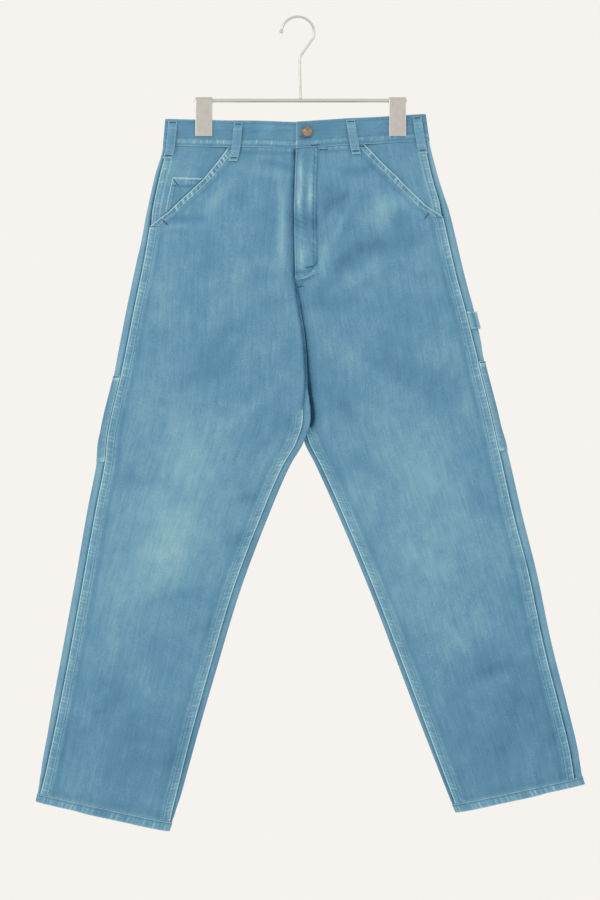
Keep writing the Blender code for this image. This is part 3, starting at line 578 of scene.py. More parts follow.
def new_material(name, roughness, **shader_values):
    """A material with its shader's uniform values set, and the shader."""
    made = bpy.data.materials.new(name)
    made.use_nodes = True
    shader = made.node_tree.nodes["Principled BSDF"]
    shader.inputs["Roughness"].default_value = roughness
    for socket, value in shader_values.items():
        shader.inputs[socket.replace("_", " ")].default_value = value
    return made, made.node_tree, shader


# What mottles the twill: where the spots lie, their scale, stretch and detail, and how much
# they add to the colour and to the relief
MOTTLES = (
    # Clouds 60 mm wide and blotches 18 mm wide
    ("place", 17.0, (1.0, 1.0, 0.7), 4.0, 0.70, 0.0),
    ("place", 55.0, (1.0, 1.0, 0.8), 3.0, 0.50, 0.0),
    # Slub 2 mm wide and 40 mm long, and warp streaks 7 mm wide
    ("cloth", 1.0, (500.0, 26.0, 1.0), 3.0, 0.50, 0.6),
    ("cloth", 1.0, (150.0, 9.0, 1.0), 2.0, 0.34, 0.0),
    # The grain of the yarn
    ("place", 700.0, (1.0, 1.0, 1.0), 2.0, 0.95, 0.8),
)
CHEVRON_WIDTH = 3.2
CHEVRON_COLOUR = 0.05
CHEVRON_RELIEF = 0.10
SHADE_WEIGHT = 0.42
ROUGH_WEIGHT = 0.12


def twill(name, stops, rib, roughness=0.9):
    """Garment-washed cotton herringbone twill, woven dark and faded by wear.

    The eye sees no gloss, a soft nap, fine chevrons in narrow stripes, and a colour that runs from deep to
    pale with the attribute of wear and painted shade, which also holds painted highlights. The real ribs
    are 0.9 mm apart and are drawn at rib, because they would be too fine to show.
    """
    made, tree, shader = new_material(
        name, roughness, Specular_IOR_Level=0.25, Sheen_Weight=0.04, Sheen_Roughness=0.5
    )
    cloth = add(tree, "ShaderNodeUVMap", uv_map="cloth").outputs["UV"]
    lays = {"cloth": cloth, "place": add(tree, "ShaderNodeTexCoord").outputs["Object"]}
    parts = add(tree, "ShaderNodeSeparateXYZ", [(0, cloth)]).outputs
    # The attribute holds the wear together with painted shade and painted highlights
    wear = add(tree, "ShaderNodeAttribute", attribute_name="wear").outputs["Fac"]
    found = {"across": parts["X"], "down": parts["Y"], "shade": wear}
    steps = [
        ("slant", "PINGPONG", "across", CHEVRON_WIDTH * MM),
        ("slant", "ADD", "slant", "down"),
        ("slant", "MULTIPLY", "slant", 2.0 * math.pi / (rib * MM)),
        ("chevron", "SINE", "slant"),
        ("relief", "MULTIPLY", "chevron", CHEVRON_RELIEF),
    ]
    for k, (lay, scale, stretch, detail, in_colour, in_relief) in enumerate(MOTTLES):
        fit = add(tree, "ShaderNodeMapping", [("Vector", lays[lay]), ("Scale", stretch)])
        links = [("Vector", fit.outputs[0]), ("Scale", scale), ("Detail", detail)]
        found[f"spots_{k}"] = add(tree, "ShaderNodeTexNoise", links).outputs["Fac"]
        steps.append(("off", "SUBTRACT", f"spots_{k}", 0.5))
        steps.append(("shade", "MULTIPLY_ADD", "off", in_colour, "shade"))
        steps.append(("relief", "MULTIPLY_ADD", "off", in_relief, "relief"))
    steps += [
        ("shade", "MULTIPLY_ADD", "chevron", CHEVRON_COLOUR, "shade"),
        ("amount", "MULTIPLY_ADD", "shade", SHADE_WEIGHT, 0.5),
        ("rough", "MULTIPLY_ADD", "amount", ROUGH_WEIGHT, roughness - 0.5 * ROUGH_WEIGHT),
    ]
    for result, operation, *terms in steps:
        links = [(k, found.get(term, term)) for k, term in enumerate(terms)]
        found[result] = add(tree, "ShaderNodeMath", links, operation=operation).outputs[0]
    ramp = add(tree, "ShaderNodeValToRGB", [("Fac", found["amount"])])
    tones = colours()
    shown = (tones.shade, tones.deep, tones.middle, tones.faded, tones.rubbed)
    while len(ramp.color_ramp.elements) < len(stops):
        ramp.color_ramp.elements.new(0.5)
    for element, position, colour in zip(ramp.color_ramp.elements, stops, shown):
        element.position = position
        element.color = (*colour, 1.0)
    tree.links.new(ramp.outputs["Color"], shader.inputs["Base Color"])
    tree.links.new(found["rough"], shader.inputs["Roughness"])
    links = [("Height", found["relief"]), ("Strength", 0.45), ("Distance", 0.5 * MM)]
    raised = add(tree, "ShaderNodeBump", links)
    tree.links.new(raised.outputs[0], shader.inputs["Normal"])
    return made


# The two weights of twill: where the ramp's tones lie, from shade to rubbed, and the rib
TWILLS = {
    "herringbone_twill": ((0.0, 0.15, 0.48, 0.72, 0.98), 2.6),
    "doubled_twill": ((0.0, 0.15, 0.46, 0.7, 0.97), 2.2),
}

# Threads, metals and paper: roughness, the shader's other values, a hex colour or the name
# of one in the panel, its unevenness and the scale of the spots
MATT_COTTON = {"Specular_IOR_Level": 0.3}
METAL = {"Metallic": 1.0}
FINISHES = {
    # Cotton thread drawn in the cloth's deep tone, a little darker than the cloth, as painted shade round
    # the stitches: matt
    "deep_thread": (0.85, MATT_COTTON, "deep", 0.3, 900.0),
    # Cotton sewing thread, dyed with the cloth: matt, a little paler than it
    "cotton_thread": (0.85, MATT_COTTON, "thread", 0.35, 900.0),
    # Polyester thread that kept its dark blue in the wash: a faint gloss
    "navy_thread": (0.6, {"Specular_IOR_Level": 0.5}, "tack", 0.3, 900.0),
    # Copper-plated brass, stamped and dulled by washing: brown, grey in the hollows
    "aged_copper": (0.42, METAL, "#9C897B", 0.4, 420.0),
    # Chrome-plated steel wire, drawn and polished: bright, with fine lengthways haze
    "bright_wire": (0.2, METAL, "#CFCEC8", 0.03, 300.0),
    # Nickel-plated sheet steel, stamped: softer than the wire, with faint grinding marks
    "stamped_steel": (0.32, METAL, "#C6C4BE", 0.05, 160.0),
    # Matt seamless paper: one pale tone, no gloss, a faint tooth
    "seamless_paper": (0.95, {}, "paper", 0.01, 30.0),
}


def material(name):
    """The finish of that name, made the first time it is asked for."""
    found = bpy.data.materials.get(name)
    if found:
        return found
    if name in TWILLS:
        return twill(name, *TWILLS[name])
    roughness, values, colour, unevenness, scale = FINISHES[name]
    made, tree, shader = new_material(name, roughness, **values)
    shown = linear(colour) if colour.startswith("#") else getattr(colours(), colour)
    lay_colour(tree, shader, shown, unevenness, scale)
    return made


def lay_colour(tree, shader, colour, unevenness, scale):
    """A colour broken up by fine spots, which also roughen the surface a little."""
    place = add(tree, "ShaderNodeTexCoord").outputs["Object"]
    spots = add(tree, "ShaderNodeTexNoise", [("Vector", place), ("Scale", scale), ("Detail", 3.0)])
    ramp = add(tree, "ShaderNodeValToRGB", [("Fac", spots.outputs["Fac"])])
    low, high = ramp.color_ramp.elements
    low.position, high.position = 0.3, 0.7
    low.color = (*(v * (1.0 - unevenness) for v in colour), 1.0)
    high.color = (*(min(1.0, v * (1.0 + unevenness)) for v in colour), 1.0)
    tree.links.new(ramp.outputs["Color"], shader.inputs["Base Color"])
    links = [("Height", spots.outputs["Fac"]), ("Strength", 0.3), ("Distance", 0.1 * MM)]
    raised = add(tree, "ShaderNodeBump", links)
    tree.links.new(raised.outputs[0], shader.inputs["Normal"])


def new_mesh(name, points, edges=(), faces=()):
    """A mesh of points in millimetres."""
    mesh = bpy.data.meshes.new(name)
    mesh.from_pydata((np.asarray(points) * MM).tolist(), edges, faces)
    return mesh


def mark(mesh, name, values):
    """Gives each point of a mesh a value or, where three are given, a vector."""
    kind, field = ("FLOAT_VECTOR", "vector") if values.ndim > 1 else ("FLOAT", "value")
    kept = mesh.attributes.new(name, kind, "POINT")
    kept.data.foreach_set(field, values.ravel().tolist())


def grid_mesh(name, points, finish, uv=None, wear=None, ring_rows=False, ring_columns=False):
    """A mesh from a grid of points in millimetres, closed on itself where a ring is asked."""
    n, m = points.shape[:2]
    last_row, last_column = n - (not ring_rows), m - (not ring_columns)
    i, j = np.meshgrid(np.arange(last_row), np.arange(last_column), indexing="ij")
    corners = []
    for a, b in ((0, 0), (0, 1), (1, 1), (1, 0)):
        corners.append((((i + a) % n) * m + (j + b) % m).ravel())
    faces = np.stack(corners, axis=1)
    flat = points.reshape(-1, 3)
    normals = np.cross(flat[faces[:, 2]] - flat[faces[:, 0]], flat[faces[:, 3]] - flat[faces[:, 1]])
    middles = flat[faces].mean(axis=1)
    inward = np.sum(normals * (middles - flat.mean(axis=0))) < 0.0
    order = [3, 2, 1, 0] if inward else [0, 1, 2, 3]
    mesh = new_mesh(name, flat, (), faces[:, order].tolist())
    if uv is not None:
        spots = []
        rows, columns = uv.shape[:2]
        for a, b in ((0, 0), (0, 1), (1, 1), (1, 0)):
            here = uv[np.minimum(i + a, rows - 1), np.minimum(j + b, columns - 1)]
            spots.append(here.reshape(-1, 2))
        layer = mesh.uv_layers.new(name="cloth")
        layer.data.foreach_set("uv", (np.stack(spots, axis=1)[:, order] * MM).ravel().tolist())
    if wear is not None:
        mark(mesh, "wear", np.broadcast_to(wear, (n, m)).ravel())
    return link(name, mesh, finish)


def put(name, data):
    """A new object for a mesh, a light or a camera, in the scene."""
    made = bpy.data.objects.new(name, data)
    bpy.context.scene.collection.objects.link(made)
    return made


def link(name, mesh, finish):
    """An object for a mesh, smooth but for its sharp edges, with its finish."""
    mesh.shade_smooth()
    mesh.set_sharp_from_angle(angle=math.radians(55.0))
    mesh.materials.append(material(finish))
    return put(name, mesh)


def wall_mesh(name, outer, under, way, uv, wear, finish):
    """A closed wall of cloth between two grids of points, coloured by its wear and painted shade."""
    n, m = outer.shape[:2]
    index = np.arange(2 * n * m).reshape(2, n, m)
    top, low = index
    sheets = [(top[:-1, :-1], top[:-1, 1:], top[1:, 1:], top[1:, :-1])]
    sheets.append((low[:-1, :-1], low[1:, :-1], low[1:, 1:], low[:-1, 1:]))
    for edge, flip in ((0, False), (-1, True)):
        across = (top[edge, :-1], low[edge, :-1], low[edge, 1:], top[edge, 1:])
        down = (top[1:, edge], low[1:, edge], low[:-1, edge], top[:-1, edge])
        sheets += [across[::-1] if flip else across, down[::-1] if flip else down]
    faces = np.concatenate([np.stack([c.ravel() for c in sheet], axis=1) for sheet in sheets])
    first, opposite = outer[1, 1] - outer[0, 0], outer[1, 0] - outer[0, 1]
    if np.dot(np.cross(first, opposite), way[0, 0]) > 0.0:
        faces = faces[:, ::-1]
    points = np.concatenate((outer.reshape(-1, 3), under.reshape(-1, 3)))
    mesh = new_mesh(name, points, (), faces.tolist())
    spots = np.tile(uv.reshape(-1, 2), (2, 1))[faces.ravel()] * MM
    mesh.uv_layers.new(name="cloth").data.foreach_set("uv", spots.ravel().tolist())
    shown = np.broadcast_to(wear, (n, m)).ravel()
    mark(mesh, "wear", np.concatenate((shown, 0.3 * shown - 0.2)))
    return link(name, mesh, finish)


def finish_piece(made, nodes):
    """Puts a piece on the frame in place of its nodes."""
    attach(made, "root")
    if nodes:
        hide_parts(*nodes)
    return made


def lay_cloth(node, side, row, q, high, low, finish, wear, middle=0.0):
    """A node's piece of cloth over a grid of places, as a closed wall, with its wear and painted shade."""
    outer, way = side.place(row, q, high)
    under = side.place(row, q, low)[0]
    uv = np.stack(np.broadcast_arrays(q - middle, outer[..., 2]), axis=-1)
    made = wall_mesh(f"{node}_cloth", outer, under, way, uv, wear, finish)
    finish_piece(made, [node])


def new_tree(name, inputs):
    """A tree that takes and gives a shape, with more inputs by name and kind."""
    tree = bpy.data.node_groups.new(name, "GeometryNodeTree")
    face = tree.interface
    for label, kind in (("Geometry", "Geometry"), *inputs):
        face.new_socket(label, in_out="INPUT", socket_type="NodeSocket" + kind)
    face.new_socket("Geometry", in_out="OUTPUT", socket_type="NodeSocketGeometry")
    return tree, add(tree, "NodeGroupInput").outputs


def end_tree(tree, shape, finish):
    """Makes a tree's shape real, gives it its finish and puts it out."""
    real = add(tree, "GeometryNodeRealizeInstances", [("Geometry", shape.outputs[0])])
    links = [("Geometry", real.outputs[0]), ("Material", finish)]
    dressed = add(tree, "GeometryNodeSetMaterial", links)
    add(tree, "NodeGroupOutput", [(0, dressed.outputs[0])])
    return tree


def thread_tree():
    """Nodes that lay one short thread after another along lines, turned as asked."""
    inputs = [(name, "Float") for name in ("Pitch", "Length", "Thickness", "Turn")]
    tree, given = new_tree("Threads along a line", [*inputs, ("Finish", "Material")])
    line = add(tree, "GeometryNodeMeshToCurve", [("Mesh", given["Geometry"])])
    links = [("Curve", line.outputs[0]), ("Length", given["Pitch"])]
    spaced = add(tree, "GeometryNodeResampleCurve", links, mode="LENGTH")
    along = add(tree, "GeometryNodeInputTangent")
    out = add(tree, "GeometryNodeInputNamedAttribute", [("Name", "out")], data_type="FLOAT_VECTOR")
    flat = add(tree, "FunctionNodeAlignRotationToVector", [("Vector", along.outputs[0])], axis="X")
    links = [("Rotation", flat.outputs[0]), ("Vector", out.outputs[0])]
    upright = add(tree, "FunctionNodeAlignRotationToVector", links, axis="Z", pivot_axis="X")
    lean = add(tree, "ShaderNodeCombineXYZ", [("Z", given["Turn"])])
    turn = add(tree, "FunctionNodeEulerToRotation", [(0, lean.outputs[0])])
    links = [("Rotation", upright.outputs[0]), ("Rotate By", turn.outputs[0])]
    leaning = add(tree, "FunctionNodeRotateRotation", links, rotation_space="LOCAL")
    bead = add(tree, "GeometryNodeMeshUVSphere", [("Segments", 5), ("Rings", 3), ("Radius", 0.5)])
    links = [("X", given["Length"]), ("Y", given["Thickness"]), ("Z", given["Thickness"])]
    size = add(tree, "ShaderNodeCombineXYZ", links)
    links = [("Geometry", bead.outputs[0]), ("Scale", size.outputs[0])]
    shaped = add(tree, "GeometryNodeTransform", links)
    smooth = add(tree, "GeometryNodeSetShadeSmooth", [("Geometry", shaped.outputs[0])])
    links = [("Points", spaced.outputs[0]), ("Instance", smooth.outputs[0])]
    links.append(("Rotation", leaning.outputs[0]))
    laid = add(tree, "GeometryNodeInstanceOnPoints", links)
    return end_tree(tree, laid, given["Finish"])


def run_tree(made, tree, values):
    """Gives an object a tree with its inputs set, and turns the result to a plain mesh."""
    modifier = made.modifiers.new("shape", "NODES")
    modifier.node_group = tree
    for item in tree.interface.items_tree:
        if item.in_out == "INPUT" and item.name in values:
            modifier[item.identifier] = values[item.name]
    seen = made.evaluated_get(bpy.context.evaluated_depsgraph_get())
    mesh = bpy.data.meshes.new_from_object(seen)
    made.modifiers.clear()
    mesh.name = made.name
    made.data = mesh
    if not mesh.polygons:
        raise RuntimeError(f"{made.name} came out with no faces")
    return made


def sew(name, lines, finish="cotton_thread", pitch=None, length=None, thickness=None, turn=0.0):
    """Rows of stitches: each line is its points and the way out of the cloth at them."""
    s = sizes()
    pitch = s.stitch_pitch if pitch is None else pitch
    points = np.concatenate([p.reshape(-1, 3) for p, n in lines])
    ways = np.concatenate([n.reshape(-1, 3) for p, n in lines])
    edges, start = [], 0
    for p, n in lines:
        count = p.reshape(-1, 3).shape[0]
        edges += [(start + k, start + k + 1) for k in range(count - 1)]
        start += count
    mesh = new_mesh(name, points, edges)
    mark(mesh, "out", ways)
    made = put(name, mesh)
    tree = bpy.data.node_groups.get("Threads along a line") or thread_tree()
    run_tree(made, tree, {
        "Pitch": pitch * MM,
        "Length": (0.8 * pitch if length is None else length) * MM,
        "Thickness": (s.thread_thickness if thickness is None else thickness) * MM,
        "Turn": math.radians(turn),
        "Finish": material(finish),
    })
    return finish_piece(made, [])


def sew_tacks(name, lines, length=2.0):
    """Bar tacks: dark threads side by side across each line."""
    sew(name, lines, "navy_thread", TACK_PITCH, length, TACK_THICKNESS, ACROSS)


def stitch_line(side, row, q, out):
    """The points of a row of stitches on a side, with the way out at each."""
    row, q = np.broadcast_arrays(np.asarray(row, float), np.asarray(q, float))
    return side.place(row.ravel(), q.ravel(), out)


def tack_line(side, row, q, out):
    """The middle line of a bar tack between two places of a side."""
    steps = shares(6)
    rows = row[0] + (row[1] - row[0]) * steps
    return side.place(rows, q[0] + (q[1] - q[0]) * steps, out)


def spread(start, end, fine, rim, middle):
    """Distances from start to end, close together over a rim at both sides."""
    near = np.arange(0.0, rim, fine)
    between = (start + rim) + shares(middle) * (end - start - 2.0 * rim)
    return np.concatenate((start + near, between, end - near[::-1]), axis=1)


def front_ends(side, row):
    """Where a front panel starts and ends, in from the outer edge."""
    start = side.mouth(row) + SEAM
    return start, side.width(row) - side.value("inseam", row) - SEAM


def tucked(distance, high, reach, depth):
    """Two more columns past a seam, where the allowance goes in beneath the other panel."""
    last = distance[:, -1:]
    more = np.concatenate((distance, last + 0.35 + 0.1 * reach, last + 0.6 + reach), axis=1)
    under = np.concatenate((high, 0.0 * last - depth, 0.0 * last - depth), axis=1)
    return more, under


def build_front(name):
    """A front panel, from the pocket's mouth and the outseam to the centre and the inseam."""
    side = SIDES[name]
    rows = side.rows
    row = side.rows_between(rows["waist"] + 0.008, rows["cuff"] - 0.02, 2.9)
    start, end = front_ends(side, row)
    distance = spread(start, end, 1.5, 27.0, 76)
    from_start, from_end = distance - start, end - distance
    x, z = side.spot(row, -distance)[2:]
    leg = ease(rows["tip"] - 1.5, rows["tip"] + 0.5, row)
    outer_ridge = pucker(z, 7.0, 11) * bump(from_start, EDGE_WIDTH + 3.0, 3.4)
    inner_ridge = pucker(z, 6.0, 12) * bump(from_end, EDGE_WIDTH + 3.0, 3.4) * leg
    under_band = pucker(x, 7.5, 13) * bump(row, rows["waist"], 0.35)
    high = sizes().pucker_depth * (outer_ridge + inner_ridge + under_band)
    wear = fading_and_painted_shade(-1, x, z)
    # Pale band edges, stronger on the pucker crests, from wear; beyond them the cloth is darkened as
    # painted shade beside the bands
    wear = wear + 0.42 * bump(from_start, EDGE_WIDTH + 2.0, 1.8) * (0.2 + outer_ridge)
    wear = wear + 0.42 * bump(from_end, EDGE_WIDTH + 2.0, 1.8) * (0.2 + inner_ridge) * leg
    wear = wear - 0.22 * bump(from_start, EDGE_WIDTH + 8.0, 4.0)
    wear = wear - 0.18 * bump(from_end, EDGE_WIDTH + 8.0, 4.0) * leg
    wear = wear + 0.4 * bump(row, rows["waist"], 0.22) * pucker(x, 7.5, 13)
    # Painted shadow: a dark line just below the waistband
    wear = wear - 0.3 * bump(row, rows["waist"] + 0.3, 0.14)
    wear = wear + 0.35 * bump(row, rows["cuff"], 0.1) - 0.15 * bump(row, rows["cuff"] - 0.5, 0.3)
    if name == "right":
        fly = 1.0 - ease(rows["fly_foot"] - 0.4, rows["fly_foot"] + 0.2, row)
        # Painted shadow along the centre edge, under the fly's edge
        wear = wear - 0.75 * bump(from_end, 0.0, 2.6) * (1.0 - leg) - 0.3 * fly * bump(from_end, 3.0, 4.0)
        wear = wear + 0.16 * fly * bump(from_end, 9.0, 3.0)
    else:
        # Painted shadow beneath the fly's foot
        shadow_below_fly = bump(row, rows["fly_foot"] + 0.08 - 0.009 * from_end, 0.09)
        wear = wear - 0.5 * shadow_below_fly * bump(from_end, 18.0, 16.0)
        # Painted shadow beside the edge of the right front, where its fold laps over the left front down
        # to the fork
        fold = ease(rows["fly_foot"] - 0.3, rows["strap"], row)
        fold = fold * (1.0 - ease(rows["tip"] - 0.2, rows["fork"], row))
        past_fold = x - SIDES["right"].value("inner_x", row)
        wear = wear - 2.0 * bump(past_fold, 0.0, 5.0) * fold - 0.4 * bump(past_fold, 6.0, 9.0) * fold
    reach = TUCK * (1.0 - ease(rows["crotch"] + 0.5, rows["crotch"] + 1.8, row)) * (name == "right")
    distance, high = tucked(distance, high, reach, 2.0 * (reach > 0.0))
    wear = np.pad(wear, ((0, 0), (0, 2)), mode="edge")
    lay_cloth(
        f"front_{name}", side, row, -distance, high, high - WALL, "herringbone_twill",
        wear, -side.width(row) / 2,
    )


def back_ends(side, row):
    """Where a back panel starts and ends, round from the outer edge."""
    wide = side.width(row)
    wrapped = ease(0.95, 1.0, side.value("closed", row))
    start = side.value("outseam", row) - SEAM
    return -start, wide - SEAM * (1.0 - wrapped) + (side.value("inseam", row) - SEAM) * wrapped


def build_back(name):
    """A back panel, from the outseam round the side, over the back, to the inseam."""
    side = SIDES[name]
    rows = side.rows
    row = side.rows_between(rows["waist"] + 0.008, rows["cuff"] - 0.02, 3.7)
    start, end = back_ends(side, row)
    wide = side.width(row)
    near = start + (6.0 - start) * shares(16)
    over = 6.0 + (wide - 12.0) * rounded(72)
    far = (wide - 6.0) + (end - wide + 6.0) * shares(12)
    q = np.concatenate((near, over[:, 1:-1], far), axis=1)
    face, _, x, z = side.spot(row, q)
    from_start, from_end = q - start, end - q
    centre = 1.0 - ease(rows["seat"], rows["crotch"], row)
    seat_ridge = pucker(z, 7.0, 22) * bump(from_end, 9.0, 4.0) * centre
    side_ridge = pucker(z, 6.5, 21) * bump(from_start, 2.0, 2.5)
    high = sizes().pucker_depth * (side_ridge + seat_ridge)
    wear = np.where(face > 0.0, fading_and_painted_shade(1, x, z), fading_and_painted_shade(-1, x, z))
    # Painted shade in the ditches at the outseam and at the far seam, and painted light lifting the strip
    # round the outer edge; paler on the seat's pucker crests from wear
    wear = wear - 1.1 * bump(from_start, 0.0, 2.3) + 0.25 * bump(from_start, 7.0, 5.0)
    wear = wear + 0.25 * seat_ridge - 0.8 * bump(from_end, 0.0, 2.2)
    wear = wear + 0.12 * bump(q, 0.0, 3.0)
    above = side.value("closed", row) < 0.88
    reach = TUCK * above * (name == "right")
    q, high = tucked(q, high, reach, 2.0 * (reach > 0.0))
    q[:, -2:] = np.where(above, q[:, -2:], q[:, -3:-2] + np.array((0.1, 0.2)))
    wear = np.pad(wear, ((0, 0), (0, 2)), mode="edge")
    lay_cloth(
        f"back_{name}", side, row, q, high, high - WALL, "herringbone_twill",
        wear, wide / 2,
    )


def build_felled_seam(name, kind):
    """The felled band over an outseam or an inseam, with its three rows of stitches."""
    side = SIDES[name]
    rows = side.rows
    first = rows["corner"] + 0.03 if kind == "outseam" else rows["tip"] - 0.6
    row = side.rows_between(first, rows["cuff"] - 0.04, 1.7)
    start, end = front_ends(side, row)
    strip = side.value("strip", row)
    wide = EDGE_WIDTH if kind == "outseam" else np.minimum(strip, 11.0)
    taper = 1.0 if kind == "outseam" else ease(first, first + 0.8, row)
    inset = wide * shares(13)
    distance = start + inset if kind == "outseam" else end - inset
    x, z = side.spot(row, -distance)[2:]
    ridges = pucker(z + 3.0 * inset / wide, 5.2, 31 if kind == "outseam" else 32)
    lanes = sizes().lanes[:]
    groove = sum(bump(inset, lane, 0.8) for lane in lanes)
    body = FELL_WALL * (1.0 - 0.45 * groove) + 0.35 * ridges * bump(inset, 5.5, 4.5)
    high = GAP * taper + body * taper + 0.06
    # Pale rubbed edges from wear; darker in the stitch grooves and the pucker hollows as painted shade,
    # paler on the crests from wear and painted highlight
    wear = 0.8 * fading_and_painted_shade(-1, x, z) + 1.25 * bump(inset, 0.3, 1.8)
    wear = wear + 0.5 * bump(inset, 5.0, 1.1) - 0.25 * groove
    wear = wear + 0.7 * (ridges - 0.42) * bump(inset, 5.5, 5.5) + 0.55 * bump(inset, wide, 1.4)
    piece = f"{kind}_{name}"
    lay_cloth(
        piece, side, row, -distance, high, 0.02, "doubled_twill",
        wear,
    )
    spaced = row[::4, 0]
    start, end = front_ends(side, spaced)
    lines = []
    for lane in lanes:
        place = start + lane if kind == "outseam" else end - lane
        lines.append(stitch_line(side, spaced, -place, GAP + 0.7 * FELL_WALL))
    sew(f"thread_{piece}", lines)


def build_pocket(name):
    """A hip pocket: the bearer behind the mouth, and the stitched edge of the front."""
    side = SIDES[name]
    rows = side.rows
    row = side.rows_between(rows["waist"] + 0.008, rows["corner"] - 0.008, 2.0)
    seam = side.value("outseam", row) + SEAM
    mouth = np.maximum(side.mouth(row), seam + 3.0)
    distance = seam + (mouth + 14.0 - seam) * shares(56)
    beneath = ease(mouth - 30.0, mouth - 4.0, distance)
    depth = -(WALL + 2.0 * GAP) * beneath - 0.1
    x, z = side.spot(row, -distance)[2:]
    band = distance - seam
    ridges = pucker(z, 5.4, 41) * bump(band, 6.0, 5.0)
    rubbed = 1.25 * bump(band, 0.5, 2.0) + 0.7 * bump(band, 5.5, 1.3) + 0.6 * bump(band, EDGE_WIDTH, 1.6)
    wear = fading_and_painted_shade(-1, x, z) + rubbed + 0.9 * (ridges - 0.3) * bump(band, 6.0, 6.0)
    # Painted shadow on the bearer beside the pocket's mouth
    wear = wear - 0.45 * bump(distance, mouth + 1.0, 3.5)
    high = depth + 0.35 * ridges
    lay_cloth(
        f"bearer_{name}", side, row, -distance, high, depth - 1.0, "herringbone_twill",
        wear,
    )
    spaced = row[::3, 0]
    seam_here = side.value("outseam", spaced) + SEAM
    keep = side.mouth(spaced) > seam_here + 16.0
    lines = [stitch_line(side, spaced[keep], -(seam_here[keep] + lane), 0.35) for lane in sizes().lanes]
    sew(f"thread_bearer_{name}", lines)

    start = front_ends(side, row)[0]
    inset = EDGE_WIDTH * shares(14)
    distance = start + inset
    x, z = side.spot(row, -distance)[2:]
    ridges = pucker(z + 0.7 * inset, 5.4, 43 if name == "right" else 44)
    groove = sum(bump(inset, lane, 0.8) for lane in POCKET_LANES)
    high = GAP + EDGE_WALL * (1.0 - 0.4 * groove) + 0.75 * ridges * bump(inset, 5.9, 3.6)
    # Pale rubbed edges from wear; the puckers paler on the crests and darker in the hollows, and the
    # stitch grooves darker, as painted light and shade
    wear = 0.1 + 1.15 * bump(inset, 0.3, 2.0) - 0.2 * groove
    wear = wear + 1.9 * (ridges - 0.38) * bump(inset, 6.2, 4.4) + 0.8 * bump(inset, EDGE_WIDTH, 1.6)
    lay_cloth(
        f"pocket_edge_{name}", side, row, -distance, high, 0.02, "doubled_twill",
        wear,
    )
    start = front_ends(side, spaced)[0]
    lines = [stitch_line(side, spaced, -(start + lane), GAP + EDGE_WALL) for lane in POCKET_LANES]
    sew(f"thread_pocket_{name}", lines)


def coin_start(side, row):
    """Where the coin pocket starts, in from the outer edge."""
    seam = side.value("outseam", row) + SEAM
    return seam + np.minimum(20.0, 0.85 * (side.mouth(row) - 1.5 - seam)) + 0.8


def build_coin_pocket():
    """The coin pocket that shows in the right pocket's mouth, with its rows of stitches."""
    side = SIDES["right"]
    rows = side.rows
    row = side.rows_between(rows["coin"], rows["pouch"], 1.6)
    mouth = side.mouth(row)
    first, last = coin_start(side, row), mouth - 2.3
    distance = first + (last - first) * shares(30)
    beneath = ease(mouth - 30.0, mouth - 4.0, distance)
    base = -(WALL + 2.0 * GAP) * beneath - 0.1 + GAP
    x, z = side.spot(row, -distance)[2:]
    down = (row - rows["coin"]) * 18.0
    inset = distance - first
    hem_ridges = pucker(x, 5.0, 51) * bump(down, 6.0, 4.5)
    edge_ridges = pucker(z, 5.0, 52) * bump(inset, 4.5, 3.5)
    high = base + 1.0 + 0.4 * hem_ridges + 0.35 * edge_ridges - 0.4 * bump(down, 12.5, 1.0)
    wear = 1.2 * bump(down, 0.0, 2.0) - 0.16 + 1.0 * bump(inset, 0.0, 1.8) + 0.6 * hem_ridges
    # Painted shade in the groove below the hem and under the pocket's mouth; darker along a line 8 mm in
    wear = wear + 0.5 * edge_ridges - 0.55 * bump(down, 12.8, 1.1) - 0.2 * bump(inset, 8.0, 1.0)
    wear = wear - 0.35 * bump(distance, mouth, 4.0)
    lay_cloth(
        "coin_pocket", side, row, -distance, high, base, "doubled_twill",
        wear,
    )
    lines = []
    for down in (4.0, 10.0):
        here = rows["coin"] + down / 18.0
        first_here, last_here = side.value("outseam", here) + 22.0, side.mouth(here) - 2.5
        lines.append(stitch_line(side, here, -np.linspace(first_here, last_here, 12), 0.3))
    spaced = np.linspace(rows["coin"] + 0.1, rows["pouch"] - 0.2, 14)
    for lane in (2.5, 7.0):
        lines.append(stitch_line(side, spaced, -(coin_start(side, spaced) + lane), 1.1))
    sew("thread_coin_pocket", lines, "deep_thread")


def fly_foot(side, inset):
    """The row of the fly's foot, which rises away from the centre."""
    return side.rows["fly_foot"] - 0.05 - FLY_CURVE * (inset / FLY_WIDTH) ** 3


def fly_row(side, row, inset, out):
    """A row of stitches at a distance in from the centre seam."""
    return stitch_line(side, row, -(side.width(row) - SEAM - inset), out)


